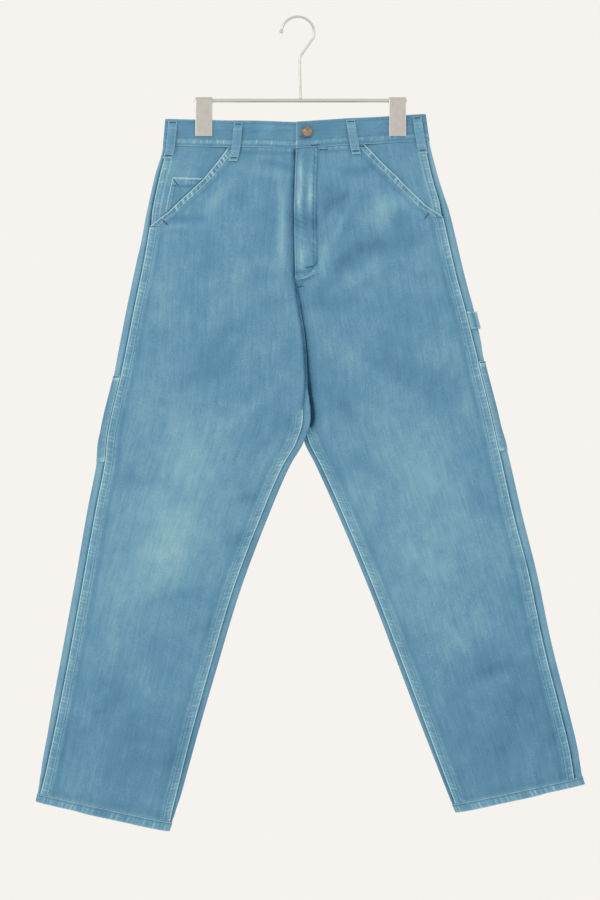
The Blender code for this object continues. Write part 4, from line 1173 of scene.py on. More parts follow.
def build_fly():
    """The fly, which swells a little over its facing, with the J of stitches round it."""
    side = SIDES["left"]
    rows = side.rows
    inset = np.linspace(0.0, FLY_WIDTH, 36)[None, :]
    share = shares(110)[:, None]
    row = rows["waist"] + 0.02 + (fly_foot(side, inset) - rows["waist"] - 0.02) * share
    end = side.width(row) - SEAM
    x, z = side.spot(row, -(end - inset))[2:]
    far = np.minimum(ease(0.0, 4.0, FLY_WIDTH - inset), ease(0.0, 0.02, 1.0 - share))
    low_part = bump(z, -322.0, 34.0) + bump(z, -400.0, 30.0)
    swell = 0.9 * pucker(z + 0.5 * inset, 9.0, 61) * bump(inset, 10.0, 9.0) * low_part
    swell = swell + 0.9 * (bump(inset, 8.0, 4.0) + bump(inset, 24.0, 4.0)) * bump(z, -262.0, 44.0)
    ridges = pucker(z + 0.7 * inset, 6.5, 62)
    swell = swell + 0.5 * ridges * bump(inset, 29.5, 3.5)
    groove = 0.9 * bump(inset, 15.5, 2.4) * bump(z, -280.0, 24.0)
    groove = groove + sum(bump(inset, lane, 0.8) for lane in reversed(FLY_LANES))
    high = GAP + (FLY_WALL - 0.3) * far + swell * far - 0.3 * groove * far + 0.1
    upper, lower = bump(z, -262.0, 48.0), bump(z, -370.0, 32.0)
    wear = 0.7 * bump(inset, 0.0, 1.4) + 0.55 * upper * bump(inset, 7.5, 4.5)
    wear = wear + 0.5 * lower * bump(inset, 10.0, 7.0)
    wear = wear + 0.45 * bump(z, -280.0, 24.0) * bump(inset, 24.0, 5.0)
    threads = 0.55 + 0.9 * mottle(x, 0.09 * z, 2.6, 64)
    # Painted shade in the grooves and the dips between the swells, painted highlight on the swells; darker
    # across a band near z -318 mm
    wear = wear * (0.35 + 0.65 * threads) - 0.3 * groove
    wear = wear + 0.4 * (swell - 0.25) - 0.45 * bump(z, -318.0, 15.0)
    wear = wear + 0.4 * (ridges - 0.3) * bump(inset, 29.5, 3.5)
    wear = wear + 0.3 * bump(share, 1.0, 0.02) - 0.5 * bump(share, 0.965, 0.014)
    lay_cloth(
        "fly", side, row, -(end - inset), high, 0.04, "herringbone_twill",
        wear,
    )
    lines = []
    turn = shares(30) * math.pi / 2
    lowest = rows["fly_foot"] - 0.12
    for lane in FLY_LANES:
        bend = fly_foot(side, lane) - 0.57
        down = np.linspace(rows["waist"] + 0.05, bend, 40)
        wavy = lane + 0.9 * mottle(down * 19.0, 0.0 * down, 9.0, 63)
        lines.append(fly_row(side, down, wavy, GAP + FLY_WALL + 0.1))
        curve_row = bend + (lowest - bend) * np.sin(turn)
        curve_lane = 2.0 + (lane - 2.0) * np.cos(turn)
        lines.append(fly_row(side, curve_row, curve_lane, GAP + FLY_WALL))
    down = np.linspace(rows["waist"] + 0.05, rows["fly_foot"] - 0.3, 40)
    lines.append(fly_row(side, down, 2.2, GAP + FLY_WALL + 0.15))
    beneath = np.linspace(rows["fly_foot"] + 0.17, rows["fly_foot"] - 0.32, 16)
    spots = np.linspace(6.0, 34.0, 16) + 0.8 * mottle(np.arange(16.0), 0.0 * beneath, 3.0, 65)
    lines.append(fly_row(side, beneath, spots, 0.25))
    sew("thread_fly", lines, "deep_thread")


def waist_path(step):
    """The waistband's run. Each column has a side, q as a share of the width and a length,
    and how far it is tucked in."""
    beneath = BAND_OUT + BAND_IN + GAP + 0.1
    share = shares(int(205.0 / step))
    edge = rounded(len(share)) * 0.35 + share * 0.65
    lap = np.linspace(0.0, LAP_LENGTH, int(LAP_LENGTH / step))
    over = share[1:]
    return (
        ("left", edge - 1.0, 0.0 * edge, 0.0 * edge),
        ("left", edge[1:], -edge[1:], 0.0 * edge[1:]),
        ("right", 1.0 - edge, edge - 1.0, 0.0 * edge),
        ("right", -over, 9.0 * over, -beneath * ease(0.872, 0.94, over)),
        ("left", 0.0 * lap - 1.0, lap, 0.0 * lap - beneath),
    )


def band_grid(path, row, out):
    """Points of the waistband at rows, moved out, over the columns of its run."""
    stretches = []
    for name, scale, shift, tuck in path:
        side = SIDES[name]
        spaced = np.asarray(row, float)[:, None]
        stretches.append(side.place(spaced, scale * side.width(spaced) + shift, out + tuck))
    return tuple(np.concatenate([s[k] for s in stretches], axis=1) for k in (0, 1))


def build_waistband():
    """The waistband, one strip from the left end round to the lap beneath it."""
    left = SIDES["left"]
    path = waist_path(2.4)
    low = [0.35, 2.0, 3.6, 5.0, 6.5, 8.0, 9.5, 11.0, 12.4, 14.0]
    up = np.array([*low, 17.0, 21.0, 26.0, 31.0, 36.0, 38.4, 40.4, 41.6])
    down_rows = left.rows["waist"] * (1.0 - up[::-1] / BAND_HEIGHT)
    outer, ways = band_grid(path, down_rows, BAND_OUT)
    run = run_of(outer[8])
    lift = up[::-1][:, None]
    strong = np.where(outer[..., 0] < 0.0, 1.0, 0.6)
    ridges = pucker(run[None, :] + 0.2 * lift, 4.2, 71) * bump(lift, 8.2, 4.4)
    groove = sum(bump(lift, lane, 0.9) for lane in BAND_LANES)
    move = sizes().pucker_depth * ridges * strong - 0.3 * groove
    outer = outer + ways * move[..., None]
    inner = band_grid(path, down_rows[::-4], -BAND_IN)[0]
    crown = band_grid(path, np.array([0.0]), (BAND_OUT - BAND_IN) / 2)[0]
    foot = band_grid(path, np.array([left.rows["waist"] - 0.01]), (BAND_OUT - BAND_IN) / 2)[0]
    points = np.concatenate((crown, outer, foot, inner))
    ends = points.mean(axis=0, keepdims=True)
    first = points[:, :1] * 0.35 + ends[:, :1] * 0.65
    last = points[:, -1:] * 0.35 + ends[:, -1:] * 0.65
    points = np.concatenate((first, points, last), axis=1)
    n, m = points.shape[:2]
    x = outer[..., 0]
    # Darker in the stitch grooves and the pucker hollows as painted shade, paler on the crests from wear
    # and painted highlight; pale rubbed edges from wear
    wear = 0.85 * (ridges - 0.14) * strong - 0.34 * groove
    wear = wear - 0.12 * ease(-4.0, 4.0, x) * (outer[..., 1] < 0) + 0.22 * bump(lift, 8.0, 5.0) * strong
    wear = wear + 0.3 * bump(lift, 41.6, 1.0) + 0.5 * bump(lift, 0.5, 1.2)
    wear = wear + 0.8 * bump(run[None, :], 0.0, 1.6) + 0.2 * bump(lift, 39.5, 2.0)
    full = np.full((n, m), -0.15)
    full[1 : 1 + outer.shape[0], 1:-1] = wear
    full[0] = full[1]
    full[:, 0] = full[:, 1]
    along = np.concatenate(([0.0], run, [run[-1]]))
    height_of = points[..., 2]
    uv = np.stack((height_of, np.broadcast_to(along[None, :], (n, m))), axis=-1)
    uv = np.concatenate((uv, uv[:1]))
    made = grid_mesh("waistband_cloth", points, "herringbone_twill", uv, full, ring_rows=True)
    outward(made)
    finish_piece(made, ["waistband"])
    lines = []
    for lane in BAND_LANES:
        row = left.rows["waist"] * (1.0 - lane / BAND_HEIGHT)
        points, way = band_grid(path[:-1], [row], BAND_OUT + 0.15)
        lines.append((points[0, 1:-9], way[0, 1:-9]))
    edge_rows = np.linspace(0.1, 1.9, 12)
    for lane in (2.6, 6.0):
        lines.append(stitch_line(left, edge_rows, -(left.width(edge_rows) - lane), BAND_OUT + 0.2))
    sew("thread_waistband", lines)


def outward(made, merge=0.0):
    """Merges a piece's points over a distance, fills its holes and turns its faces outwards."""
    shape = bmesh.new()
    shape.from_mesh(made.data)
    if merge:
        bmesh.ops.remove_doubles(shape, verts=shape.verts, dist=merge)
    bmesh.ops.holes_fill(shape, edges=[e for e in shape.edges if e.is_boundary], sides=0)
    bmesh.ops.recalc_face_normals(shape, faces=shape.faces)
    shape.to_mesh(made.data)
    shape.free()


def strap_mesh(name, finish, centre, way, across, wear, uv_along):
    """A flat strap along lines of points, its section closed round and its ends shut."""
    half = np.linspace(-1.0, 1.0, 9)
    round_half = np.sqrt(np.clip(1.0 - np.abs(half) ** 6, 0.0, 1.0))
    sides = np.concatenate((half, half[::-1][1:-1]))
    lift = np.concatenate((0.5 + 0.5 * round_half, 0.5 - 0.5 * round_half[::-1][1:-1]))
    points = centre[:, None] + across[:, None] * (sides * LOOP_WIDTH / 2)[None, :, None]
    points = points + way[:, None] * (lift * LOOP_WALL)[None, :, None]
    ends = points.mean(axis=1, keepdims=True)
    first = points[:1] * 0.3 + ends[:1] * 0.7
    last = points[-1:] * 0.3 + ends[-1:] * 0.7
    points = np.concatenate((first, points, last))
    along = np.concatenate((uv_along[:1], uv_along, uv_along[-1:]))
    spots = np.concatenate((sides, sides[:1])) * LOOP_WIDTH / 2
    uv = np.stack(np.meshgrid(spots, along, indexing="xy"), axis=-1)
    shown = np.concatenate((wear[:1], wear, wear[-1:]))[:, None] + 0.35 * np.abs(sides)[None, :] ** 6
    made = grid_mesh(name, points, finish, uv, shown, ring_columns=True)
    outward(made)
    return made


# Belt loops: side, face, place in from the outer edge, length below the seam, foot's lift
LOOPS = {
    "front_right": ("right", -1, 114.0, 21.5, 2.4),
    "side_right": ("right", -1, 12.0, 19.5, 0.6),
    "front_left": ("left", -1, 117.5, 15.5, 2.4),
    "side_left": ("left", -1, 14.0, 19.0, 0.6),
    "back_right": ("right", 1, 95.0, 16.0, 1.8),
    "back_left": ("left", 1, 95.0, 16.0, 1.8),
    "back_centre": ("right", 1, None, 16.0, 0.6),
}


def build_belt_loop(label):
    """One belt loop over the waistband, with its rows of stitches and its tacks."""
    name, face, place, below, foot_lift = LOOPS[label]
    side = SIDES[name]
    waist = side.rows["waist"]
    drop = side.value("outer_z", waist) - side.value("outer_z", waist + 2)
    foot = waist + 2.0 * below / drop
    knots = np.array([0.12, 0.35, 0.8, 1.6, waist + 0.25 * (foot - waist), foot - 0.12, foot])
    high = BAND_OUT + LOOP_STAND_OFF
    low = BAND_OUT + LOOP_CLEAR
    lifts = np.array([low, low, high, high, high - 0.4, foot_lift, foot_lift])
    row = np.linspace(knots[0], foot, 46)
    lift = Curve(knots, lifts).at(row) + 0.12 * mottle(row * 20.0, row * 0.0, 3.0, 81)

    def line(shift, out):
        q = side.width(row) - 8.5 + shift if place is None else face * (place + shift)
        return side.place(row, q, out)

    centre, way = line(0.0, lift)
    across = line(3.0, lift)[0] - line(-3.0, lift)[0]
    across = across / np.linalg.norm(across, axis=-1, keepdims=True)
    run = run_of(centre)
    wear = 0.1 + 0.4 * (pucker(run, 6.0, 82) - 0.4) + 0.5 * bump(run, run[-1], 1.6)
    wear = wear - 0.25 * bump(run, run[-1] - 3.0, 1.2)
    piece = f"belt_loop_{label}"
    made = strap_mesh(f"{piece}_cloth", "doubled_twill", centre, way, across, wear, run)
    finish_piece(made, [piece])
    top = centre + way * (LOOP_WALL + 0.05)
    lines = [(top[2:-2] + across[2:-2] * shift, way[2:-2]) for shift in (-4.6, 4.6)]
    sew(f"thread_loop_{label}", lines)
    tacks = []
    for k in (-4, 3):
        spots = np.linspace(-4.8, 4.8, 6)[:, None]
        tacks.append((top[k] + across[k] * spots + way[k] * 0.1, np.repeat(way[k][None], 6, axis=0)))
    sew_tacks(f"tack_loop_{label}", tacks)


def build_hem(name):
    """The turned end of a leg: its outside, the fold at the foot, and its inside."""
    side = SIDES[name]
    rows = side.rows
    share = rounded(130) * 0.4 + shares(130) * 0.6
    q_share = np.concatenate((-share, 1.0 - share[1:-1]))
    low = np.concatenate((np.zeros(130), np.sin(np.pi * share[1:-1]) ** 2))
    down = np.array([0.015, 0.1, 0.22, 0.34, 0.46, 0.58, 0.7, 0.82, 0.93, 0.99])
    flow = np.cumsum(np.full(len(q_share), 1.65))[None, :]
    ridges = pucker(flow + 2.4 * down[:, None], 6.0, 91 if name == "right" else 92)

    def layer(downs, out):
        row = (rows["cuff"] + downs * (rows["hem"] - rows["cuff"]))[:, None]
        q = side.width(row) * q_share[None, :]
        points = side.place(row, q, out)[0]
        wave = 1.1 * mottle(flow, flow * 0.0, 23.0, 93)
        points[..., 2] -= (HEM_DROP_BACK * low[None, :] + wave) * downs[:, None]
        return points

    d = down[:, None]
    body = bump(d, 0.56, 0.4)
    outer = layer(down, HEM_OUT - 0.25 + 0.8 * (ridges - 0.3) * body - 0.35 * bump(d, 0.14, 0.07))
    fold = layer(np.array([1.02]), -0.9)
    inner = layer(down[::-2], -HEM_IN)
    crown = layer(np.array([0.012]), -0.9)
    points = np.concatenate((outer, fold, inner, crown))
    n, m = points.shape[:2]
    # Pale fold and top edge from wear; the puckers paler on the crests and darker in the hollows, and a
    # dark line in the stitch groove, as painted light and shade
    wear = 0.95 * (ridges - 0.36) * body + 0.12 + 0.4 * bump(d, 1.0, 0.1) + 0.75 * bump(d, 0.0, 0.08)
    wear = wear - 0.5 * bump(d, 0.16, 0.06)
    full = np.full((n, m), -0.1)
    full[: len(down)] = wear
    full[len(down)] = 0.3
    along = np.append(flow[0], flow[0, -1] + 1.65)[None, :]
    height_of = np.append(points[..., 0, 2], points[0, 0, 2])[:, None]
    uv = np.stack(np.broadcast_arrays(along, height_of), axis=-1)
    piece = f"hem_{name}"
    made = grid_mesh(f"{piece}_cloth", points, "doubled_twill", uv, full, True, True)
    outward(made)
    finish_piece(made, [piece])
    row = rows["cuff"] + 0.15 * (rows["hem"] - rows["cuff"])
    line = stitch_line(side, row, side.width(row) * q_share, HEM_OUT)
    sew(f"thread_hem_{name}", [line], "deep_thread")


def patch_spots(side, q0, q1, first, last, columns, step):
    """A grid of rows and q between two stations and two shares of the back."""
    row = side.rows_between(first, last, step)
    share = shares(columns)
    start, stop = q0(row), q1(row)
    return row, start + (stop - start) * share


BACK_SHARES = (1.0 - np.cos(np.pi * np.arange(10) / 9.0)) / 2


def back_q(side, share):
    """How far round the back the solid's column nearest a share lies, at a row."""
    nearest = BACK_SHARES[int(np.argmin(np.abs(BACK_SHARES - share)))]

    def at(row):
        return 6.0 + (side.width(row) - 15.0) * nearest

    return at


def outseam_q(side):
    """How far round a piece that is sewn in at the outseam starts, at a row."""

    def at(row):
        return 0.8 - (side.value("outseam", row) - SEAM)

    return at


def build_patch(label, name, first, last, near, far, hem_height):
    """A patch pocket on a back panel, with a turned top and double rows at its sides."""
    side = SIDES[name]
    rows = side.rows
    row, q = patch_spots(side, near, far, rows[first], rows[last], 54, 2.4)
    low, high_edge = q[:, :1], q[:, -1:]
    inset = np.minimum(q - low, high_edge - q)
    x, z = side.spot(row, q)[2:]
    top, bottom = z[0].max(), z[-1].min()
    below, above = top - z, z - bottom
    border = np.minimum(inset, np.minimum(below, above))
    hem = bump(below, hem_height / 2, hem_height / 2.4)
    ridges = pucker(x, 6.0, 95) * hem + pucker(z, 6.0, 96) * bump(inset, 4.0, 3.0)
    line = sum(bump(inset, lane, 0.8) for lane in PATCH_LANES) + bump(below, hem_height, 0.9)
    high = GAP + PATCH_WALL + 0.3 * ridges - 0.3 * line
    wear = np.where(q > 0.0, fading_and_painted_shade(1, x, z), fading_and_painted_shade(-1, x, z))
    pale_hem = 0.12 + 0.5 * (label == "tool_pocket") * ease(30.0, 0.0, q)
    # Painted shade along the sunken stitch lines; pale rubbed borders and pucker crests from wear
    wear = wear + 0.85 * bump(border, 0.0, 1.8) + 0.45 * ridges - 0.3 * line + pale_hem * hem
    wear = wear + 0.5 * bump(above, 6.0, 3.0) * ease(30.0, 0.0, q) * (label == "tool_pocket")
    piece = f"{label}_{name}"
    lay_cloth(
        piece, side, row, q, high, 0.05, "herringbone_twill",
        wear, side.width(row) / 2,
    )
    lines = []
    spaced = np.linspace(rows[first] + 0.05, rows[last] - 0.1, 30)
    out = GAP + PATCH_WALL
    for lane in PATCH_LANES:
        lines.append(stitch_line(side, spaced, near(spaced) + lane, out))
        lines.append(stitch_line(side, spaced, far(spaced) - lane, out))
    pace = (rows[last] - rows[first]) / (top - bottom)
    for drop in (hem_height, top - bottom - 3.0, top - bottom - 9.0):
        here = rows[first] + drop * pace
        spots = np.linspace(near(here) + 2.4, far(here) - 2.4, 24)
        lines.append(stitch_line(side, here, spots, out))
    sew(f"thread_{piece}", lines)
    tacks = []
    here = rows[first] + 0.08
    for edge, inward in ((near(here), 9.0), (far(here), -9.0)):
        tacks.append(tack_line(side, (here, here), (edge + 0.12 * inward, edge + inward), out + 0.2))
    sew_tacks(f"tack_{piece}", tacks)


def build_hammer_loop():
    """The hammer loop round the left side, slack over the edge and sewn at its ends."""
    side = SIDES["left"]
    rows = side.rows
    near, far = outseam_q(side), back_q(side, 0.3)
    row, q = patch_spots(side, near, far, rows["strap"] + 0.13, rows["seat"] - 0.13, 60, 1.6)
    t = (q - near(row)) / (far(row) - near(row))
    lift = GAP + STRAP_STAND_OFF * np.sin(np.pi * np.clip(t, 0.0, 1.0)) ** 0.6
    z = side.spot(row, q)[3]
    down = row - row[0]
    border = np.minimum(down, row[-1] - row) * 40.0
    ridges = pucker(z + 0.3 * q, 6.0, 98) * bump(q - near(row), 5.0, 5.0)
    line = bump(border, 3.0, 1.0)
    high = lift + STRAP_WALL - 0.25 * line + 0.25 * ridges
    # Painted shade in the stitch grooves and along the loop's fold, about 6.5 mm in from the outseam; pale
    # rubbed edges from wear
    wear = 0.16 + 0.7 * bump(border, 0.0, 2.0) - 0.25 * line
    wear = wear - 0.7 * bump(q - near(row), 6.5 + 0.1 * border, 1.8) + 0.4 * ridges
    wear = wear + 0.4 * bump(q, 0.0, 4.0) + 0.4 * bump(q - near(row), 0.0, 1.6)
    lay_cloth(
        "hammer_loop", side, row, q, high, lift, "doubled_twill",
        wear,
    )
    lines = []
    for here in (rows["strap"] + 0.2, rows["seat"] - 0.2):
        spots = np.linspace(near(here) + 1.0, far(here) - 1.0, 40)
        share = (spots - near(here)) / (far(here) - near(here))
        out = GAP + STRAP_STAND_OFF * np.sin(np.pi * share) ** 0.6 + STRAP_WALL
        lines.append(stitch_line(side, here, spots, out))
    sew("thread_hammer_loop", lines)


# The bar tacks on the fronts: side, station, the rows past it and the distances in of both
# ends, whether those are counted from the outer or the inner edge, and how far out they lie
TACKS = (
    ("right", "corner", (-0.47, -0.1), (26.5, 37.5), "outer", 1.8),
    ("left", "corner", (-0.33, 0.01), (32.4, 41.4), "outer", 1.8),
    ("right", "waist", (0.1, 0.13), (101.5, 110.0), "outer", 1.8),
    ("left", "waist", (0.1, 0.1), (101.5, 110.0), "outer", 1.8),
    ("right", "coin", (0.12, 0.62), (30.5, 40.5), "outer", 1.5),
    ("left", "fly_foot", (-0.62, -0.7), (21.5, 34.0), "inner", 2.0),
    ("left", "fly_foot", (0.28, 0.22), (1.0, 9.0), "inner", 0.6),
    ("left", "waist", (-0.16, -0.15), (24.0, 37.0), "inner", 0.8),
    ("left", "waist", (0.18, 0.2), (31.0, 48.0), "inner", 0.3),
)


def front_tacks():
    """The dark tacks at the ends of the pocket mouths, the fly and the coin pocket."""
    lines = []
    for name, station, downs, insets, edge, out in TACKS:
        side = SIDES[name]
        row = side.rows[station]
        wide = float(side.width(row))
        q = [-inset if edge == "outer" else inset - wide for inset in insets]
        lines.append(tack_line(side, [row + down for down in downs], q, out))
    sew_tacks("tack_fronts", lines, 1.7)


def turned_mesh(name, profile, centre, finish, steps=56):
    """A turned piece about the Y axis, from a profile of radius and y."""
    angle = np.linspace(0.0, 2.0 * math.pi, steps, endpoint=False)
    profile = np.array(profile)
    x = centre[0] + profile[:, :1] * np.cos(angle)
    z = centre[2] + profile[:, :1] * np.sin(angle)
    y = centre[1] + np.repeat(profile[:, 1:], steps, axis=1)
    made = grid_mesh(name, np.stack((x, y, z), axis=-1), finish, ring_columns=True)
    outward(made, 0.02 * MM)
    made.data.shade_smooth()
    return made


def build_button():
    """The tack button: a rolled rim, a sunk ring and a low dome, over a stitched buttonhole."""
    left = SIDES["left"]
    x, z = BUTTON_PLACE
    row = np.array([left.rows["waist"] * 0.6])
    q = -(left.width(row) - (x + 2.6))
    seat = float(left.place(row, q, BAND_OUT + GAP + 0.15)[0][0, 1])
    r, h = BUTTON_RADIUS, BUTTON_HEIGHT
    profile = [(0.0, 0.0), (0.5 * r, 0.0), (0.55 * r, -0.3 * h)]
    for a in np.linspace(-1.4, 4.2, 14):
        profile.append((r * (0.9 + 0.1 * math.cos(a)), -h * (0.72 - 0.28 * math.sin(a))))
    profile += [(0.74 * r, -0.72 * h), (0.66 * r, -0.68 * h), (0.62 * r, -0.74 * h), (0.45 * r, -0.82 * h)]
    profile += [(0.2 * r, -0.9 * h), (0.0, -0.92 * h)]
    made = turned_mesh("button_metal", profile, (x, seat, z), "aged_copper")
    finish_piece(made, ["button"])
    row = left.rows["waist"] * 0.6
    base = float(left.width(np.array(row)))
    lines = []
    for shift in (-1.6, 1.6):
        here = row + shift / 21.0
        spots = np.linspace(5.0, 24.0, 12)
        lines.append(stitch_line(left, here, -(base - spots), BAND_OUT + 0.15))
    sew("thread_buttonhole", lines, "deep_thread", 0.7, 2.4, 0.5, ACROSS)


def wire_tree():
    """Nodes that give a line a round section, thicker where a ball is asked."""
    tree, given = new_tree("Wire along a line", [("Sides", "Int"), ("Finish", "Material")])
    line = add(tree, "GeometryNodeMeshToCurve", [("Mesh", given["Geometry"])])
    size = add(tree, "GeometryNodeInputNamedAttribute", [("Name", "thick")], data_type="FLOAT")
    links = [("Resolution", given["Sides"]), ("Radius", 1.0)]
    ring = add(tree, "GeometryNodeCurvePrimitiveCircle", links)
    links = [("Curve", line.outputs[0]), ("Profile Curve", ring.outputs[0])]
    links += [("Scale", size.outputs[0]), ("Fill Caps", True)]
    swept = add(tree, "GeometryNodeCurveToMesh", links)
    smooth = add(tree, "GeometryNodeSetShadeSmooth", [("Geometry", swept.outputs[0])])
    return end_tree(tree, smooth, given["Finish"])


def wire(name, line, thick, finish, sides=20):
    """A round wire along a line of points, of a radius at each point."""
    mesh = new_mesh(name, line, [(k, k + 1) for k in range(len(line) - 1)])
    mark(mesh, "thick", np.array(thick) * MM)
    made = put(name, mesh)
    tree = bpy.data.node_groups.get("Wire along a line") or wire_tree()
    return run_tree(made, tree, {"Sides": sides, "Finish": material(finish)})


def build_hook():
    """The hanger's hook of drawn wire with a ball tip, and its straight bar."""
    centre = np.array((0.5, 0.0, WIRE - HOOK_RADIUS))
    start, end = math.radians(HOOK_TIP_ANGLE), math.radians(HOOK_SIDE_ANGLE)
    angle = np.linspace(start, end, 60)
    arc = centre + np.stack((np.cos(angle), 0.0 * angle, np.sin(angle)), axis=1) * HOOK_RADIUS
    back = (arc[0] - arc[1]) / np.linalg.norm(arc[0] - arc[1])
    steps = np.linspace(1.0, -1.0, 13)
    tip = arc[0] + np.outer(steps * HOOK_BALL + 2.0, back)
    ball = HOOK_BALL * np.sqrt(np.clip(1.0 - steps**2, 0.02, 1.0))
    keep = (steps > 0.0) | (ball > WIRE)
    tip, ball = tip[keep], ball[keep]
    neck = np.array((HOOK_NECK[0], 0.0, HOOK_NECK[1]))
    low = np.array((HANGER_X, 0.0, BAR_Z + BAR_RADIUS + GAP))
    run = [arc[-1] + (neck - arc[-1]) * s for s in np.linspace(0.15, 0.95, 10)]
    stem = [neck + (low - neck) * s for s in np.linspace(0.05, 1.0, 14)]
    line = np.concatenate((tip, arc[1:], run, stem))
    thick = np.concatenate((ball, np.full(len(line) - len(ball), WIRE)))
    made = wire("hook_wire", line, thick, "bright_wire")
    finish_piece(made, ["hanger_hook"])
    x = np.linspace(-BAR_LENGTH / 2, BAR_LENGTH / 2, 40)
    line = np.stack((HANGER_X + x, 0.0 * x, 0.0 * x + BAR_Z), axis=1)
    thick = BAR_RADIUS * np.clip(ease(0.0, 2.5, BAR_LENGTH / 2 - np.abs(x)) * 0.5 + 0.5, 0.0, 1.0)
    made = wire("bar_wire", line, thick, "bright_wire", 24)
    finish_piece(made, ["hanger_bar"])


def build_clip(name, x):
    """A clip of bent sheet steel folded over the bar into two straight jaws."""
    gap, plate = CLIP_JAW_GAP, CLIP_PLATE
    roof = BAR_Z + BAR_RADIUS + GAP
    inner = [(-gap, CLIP_BOTTOM), (-gap, CLIP_BOTTOM + 8.0), (-gap, roof - 12.0), (-gap, roof - 3.0)]
    inner += [(-gap + 0.7, roof - 1.0), (-gap + 2.2, roof), (0.0, roof)]
    inner += [(-y, z) for y, z in inner[-2::-1]]
    inner = np.array(inner)
    step = np.gradient(inner, axis=0)
    step = step / np.linalg.norm(step, axis=1, keepdims=True)
    outer = inner + np.stack((-step[:, 1], step[:, 0]), axis=1) * plate
    section = np.concatenate((inner, outer[::-1]))
    half = CLIP_WIDTH / 2
    across = np.array([-half, -half + 0.5, -half + 2.0, 0.0, half - 2.0, half - 0.5, half])
    squeeze = np.array([0.55, 1.0, 1.0, 1.0, 1.0, 1.0, 0.55])
    middle = np.concatenate((inner + (outer - inner) / 2, (inner + (outer - inner) / 2)[::-1]))
    points = np.empty((len(across), len(section), 3))
    for k, (shift, keep) in enumerate(zip(across, squeeze)):
        shaped = middle + (section - middle) * keep
        points[k] = np.stack((np.full(len(section), x + shift), shaped[:, 0], shaped[:, 1]), axis=1)
    made = grid_mesh(f"clip_{name}", points, "stamped_steel", ring_columns=True)
    outward(made)
    made.data.set_sharp_from_angle(angle=math.radians(40.0))
    finish_piece(made, [f"hanger_clip_{name}"])


def value_property(name, about, default, lowest=0.0, highest=1000.0, unit="NONE"):
    """A value in the panel, with its limits."""
    return FloatProperty(
        name=name, description=about, default=default, min=lowest, max=highest, unit=unit
    )


def colour_property(name, about, code):
    """A colour in the panel, from a hex colour."""
    return FloatVectorProperty(name=name, description=about, subtype="COLOR", default=linear(code))


class JeansSizes(bpy.types.PropertyGroup):
    pucker_depth: value_property("Pucker depth", "Height of the ridges along seams", 0.6, 0.0, 2.0)
    stitch_pitch: value_property("Stitch pitch", "From one stitch to the next", 3.2, 1.0, 8.0)
    thread_thickness: value_property("Thread thickness", "Across a stitch", 0.7, 0.2, 2.0)
    lanes: FloatVectorProperty(
        name="Stitch rows", description="From a felled seam's edge to its rows", default=(1.7, 5.4, 9.6)
    )
    key_light: value_property("Key light", "The softbox on the left", 16.0, unit="POWER")
    fill_light: value_property("Fill light", "The softbox on the right", 5.0, unit="POWER")
    room_light: value_property("Room light", "Light from all round", 0.98)
    lens: value_property("Lens", "Focal length of the camera", 100.0, 20.0, unit="CAMERA")


class JeansColours(bpy.types.PropertyGroup):
    shade: colour_property("Shade", "Cloth in the closed folds and ditches", "#1C4160")
    deep: colour_property("Deep", "Cloth that kept its dye", "#3F6E8C")
    middle: colour_property("Middle", "Most of the cloth", "#6293B1")
    faded: colour_property("Faded", "Cloth faded by wear", "#84B0C1")
    rubbed: colour_property("Rubbed", "Edges rubbed pale", "#B2D6DC")
    thread: colour_property("Thread", "Sewing thread", "#8DB9CB")
    tack: colour_property("Tack thread", "Bar tacks", "#1D3D5A")
    paper: colour_property("Room", "Floor and room", "#F8F5F0")


class Dress(bpy.types.Operator):
    """One step of dressing the jeans"""

    bl_options = {"REGISTER"}

    def execute(self, context):
        self.make()
        return {"FINISHED"}


class JEANS_OT_panels(Dress):
    """Lay the front and back panels"""

    bl_idname = "jeans.panels"
    bl_label = "Panels"

    def make(self):
        for name in SIDES:
            build_front(name)
            build_back(name)


class JEANS_OT_seams(Dress):
    """Fell the outseams and inseams"""

    bl_idname = "jeans.seams"
    bl_label = "Felled seams"

    def make(self):
        for name in SIDES:
            build_felled_seam(name, "outseam")
            build_felled_seam(name, "inseam")


class JEANS_OT_hip_pockets(Dress):
    """Set in the hip pockets and the coin pocket"""

    bl_idname = "jeans.hip_pockets"
    bl_label = "Hip pockets"

    def make(self):
        for name in SIDES:
            build_pocket(name)
        build_coin_pocket()


class JEANS_OT_fly(Dress):
    """Sew the fly and the tacks of the fronts"""

    bl_idname = "jeans.fly"
    bl_label = "Fly"

    def make(self):
        build_fly()
        front_tacks()


class JEANS_OT_patches(Dress):
    """Sew on the tool pockets, the back pockets and the hammer loop"""

    bl_idname = "jeans.patches"
    bl_label = "Patch pockets and hammer loop"

    def make(self):
        for name, side in SIDES.items():
            near, far = back_q(side, 0.3), back_q(side, 0.85)
            seam = outseam_q(side)
            build_patch("tool_pocket", name, "crotch", "pouch_foot", seam, near, 9.0)
            build_patch("back_pocket", name, "pouch", "strap", near, far, 14.0)
        build_hammer_loop()


class JEANS_OT_waistband(Dress):
    """Set on the waistband and its belt loops"""

    bl_idname = "jeans.waistband"
    bl_label = "Waistband and belt loops"

    def make(self):
        build_waistband()
        for label in LOOPS:
            build_belt_loop(label)


class JEANS_OT_hems(Dress):
    """Turn the hems"""

    bl_idname = "jeans.hems"
    bl_label = "Hems"

    def make(self):
        for name in SIDES:
            build_hem(name)


class JEANS_OT_button(Dress):
    """Set the button and its buttonhole"""

    bl_idname = "jeans.button"
    bl_label = "Button"

    def make(self):
        build_button()


class JEANS_OT_hanger(Dress):
    """Make the hanger's hook, bar and clips"""

    bl_idname = "jeans.hanger"
    bl_label = "Hanger"

    def make(self):
        build_hook()
        build_clip("right", HANGER_X - CLIP_X)
        build_clip("left", HANGER_X + CLIP_X)


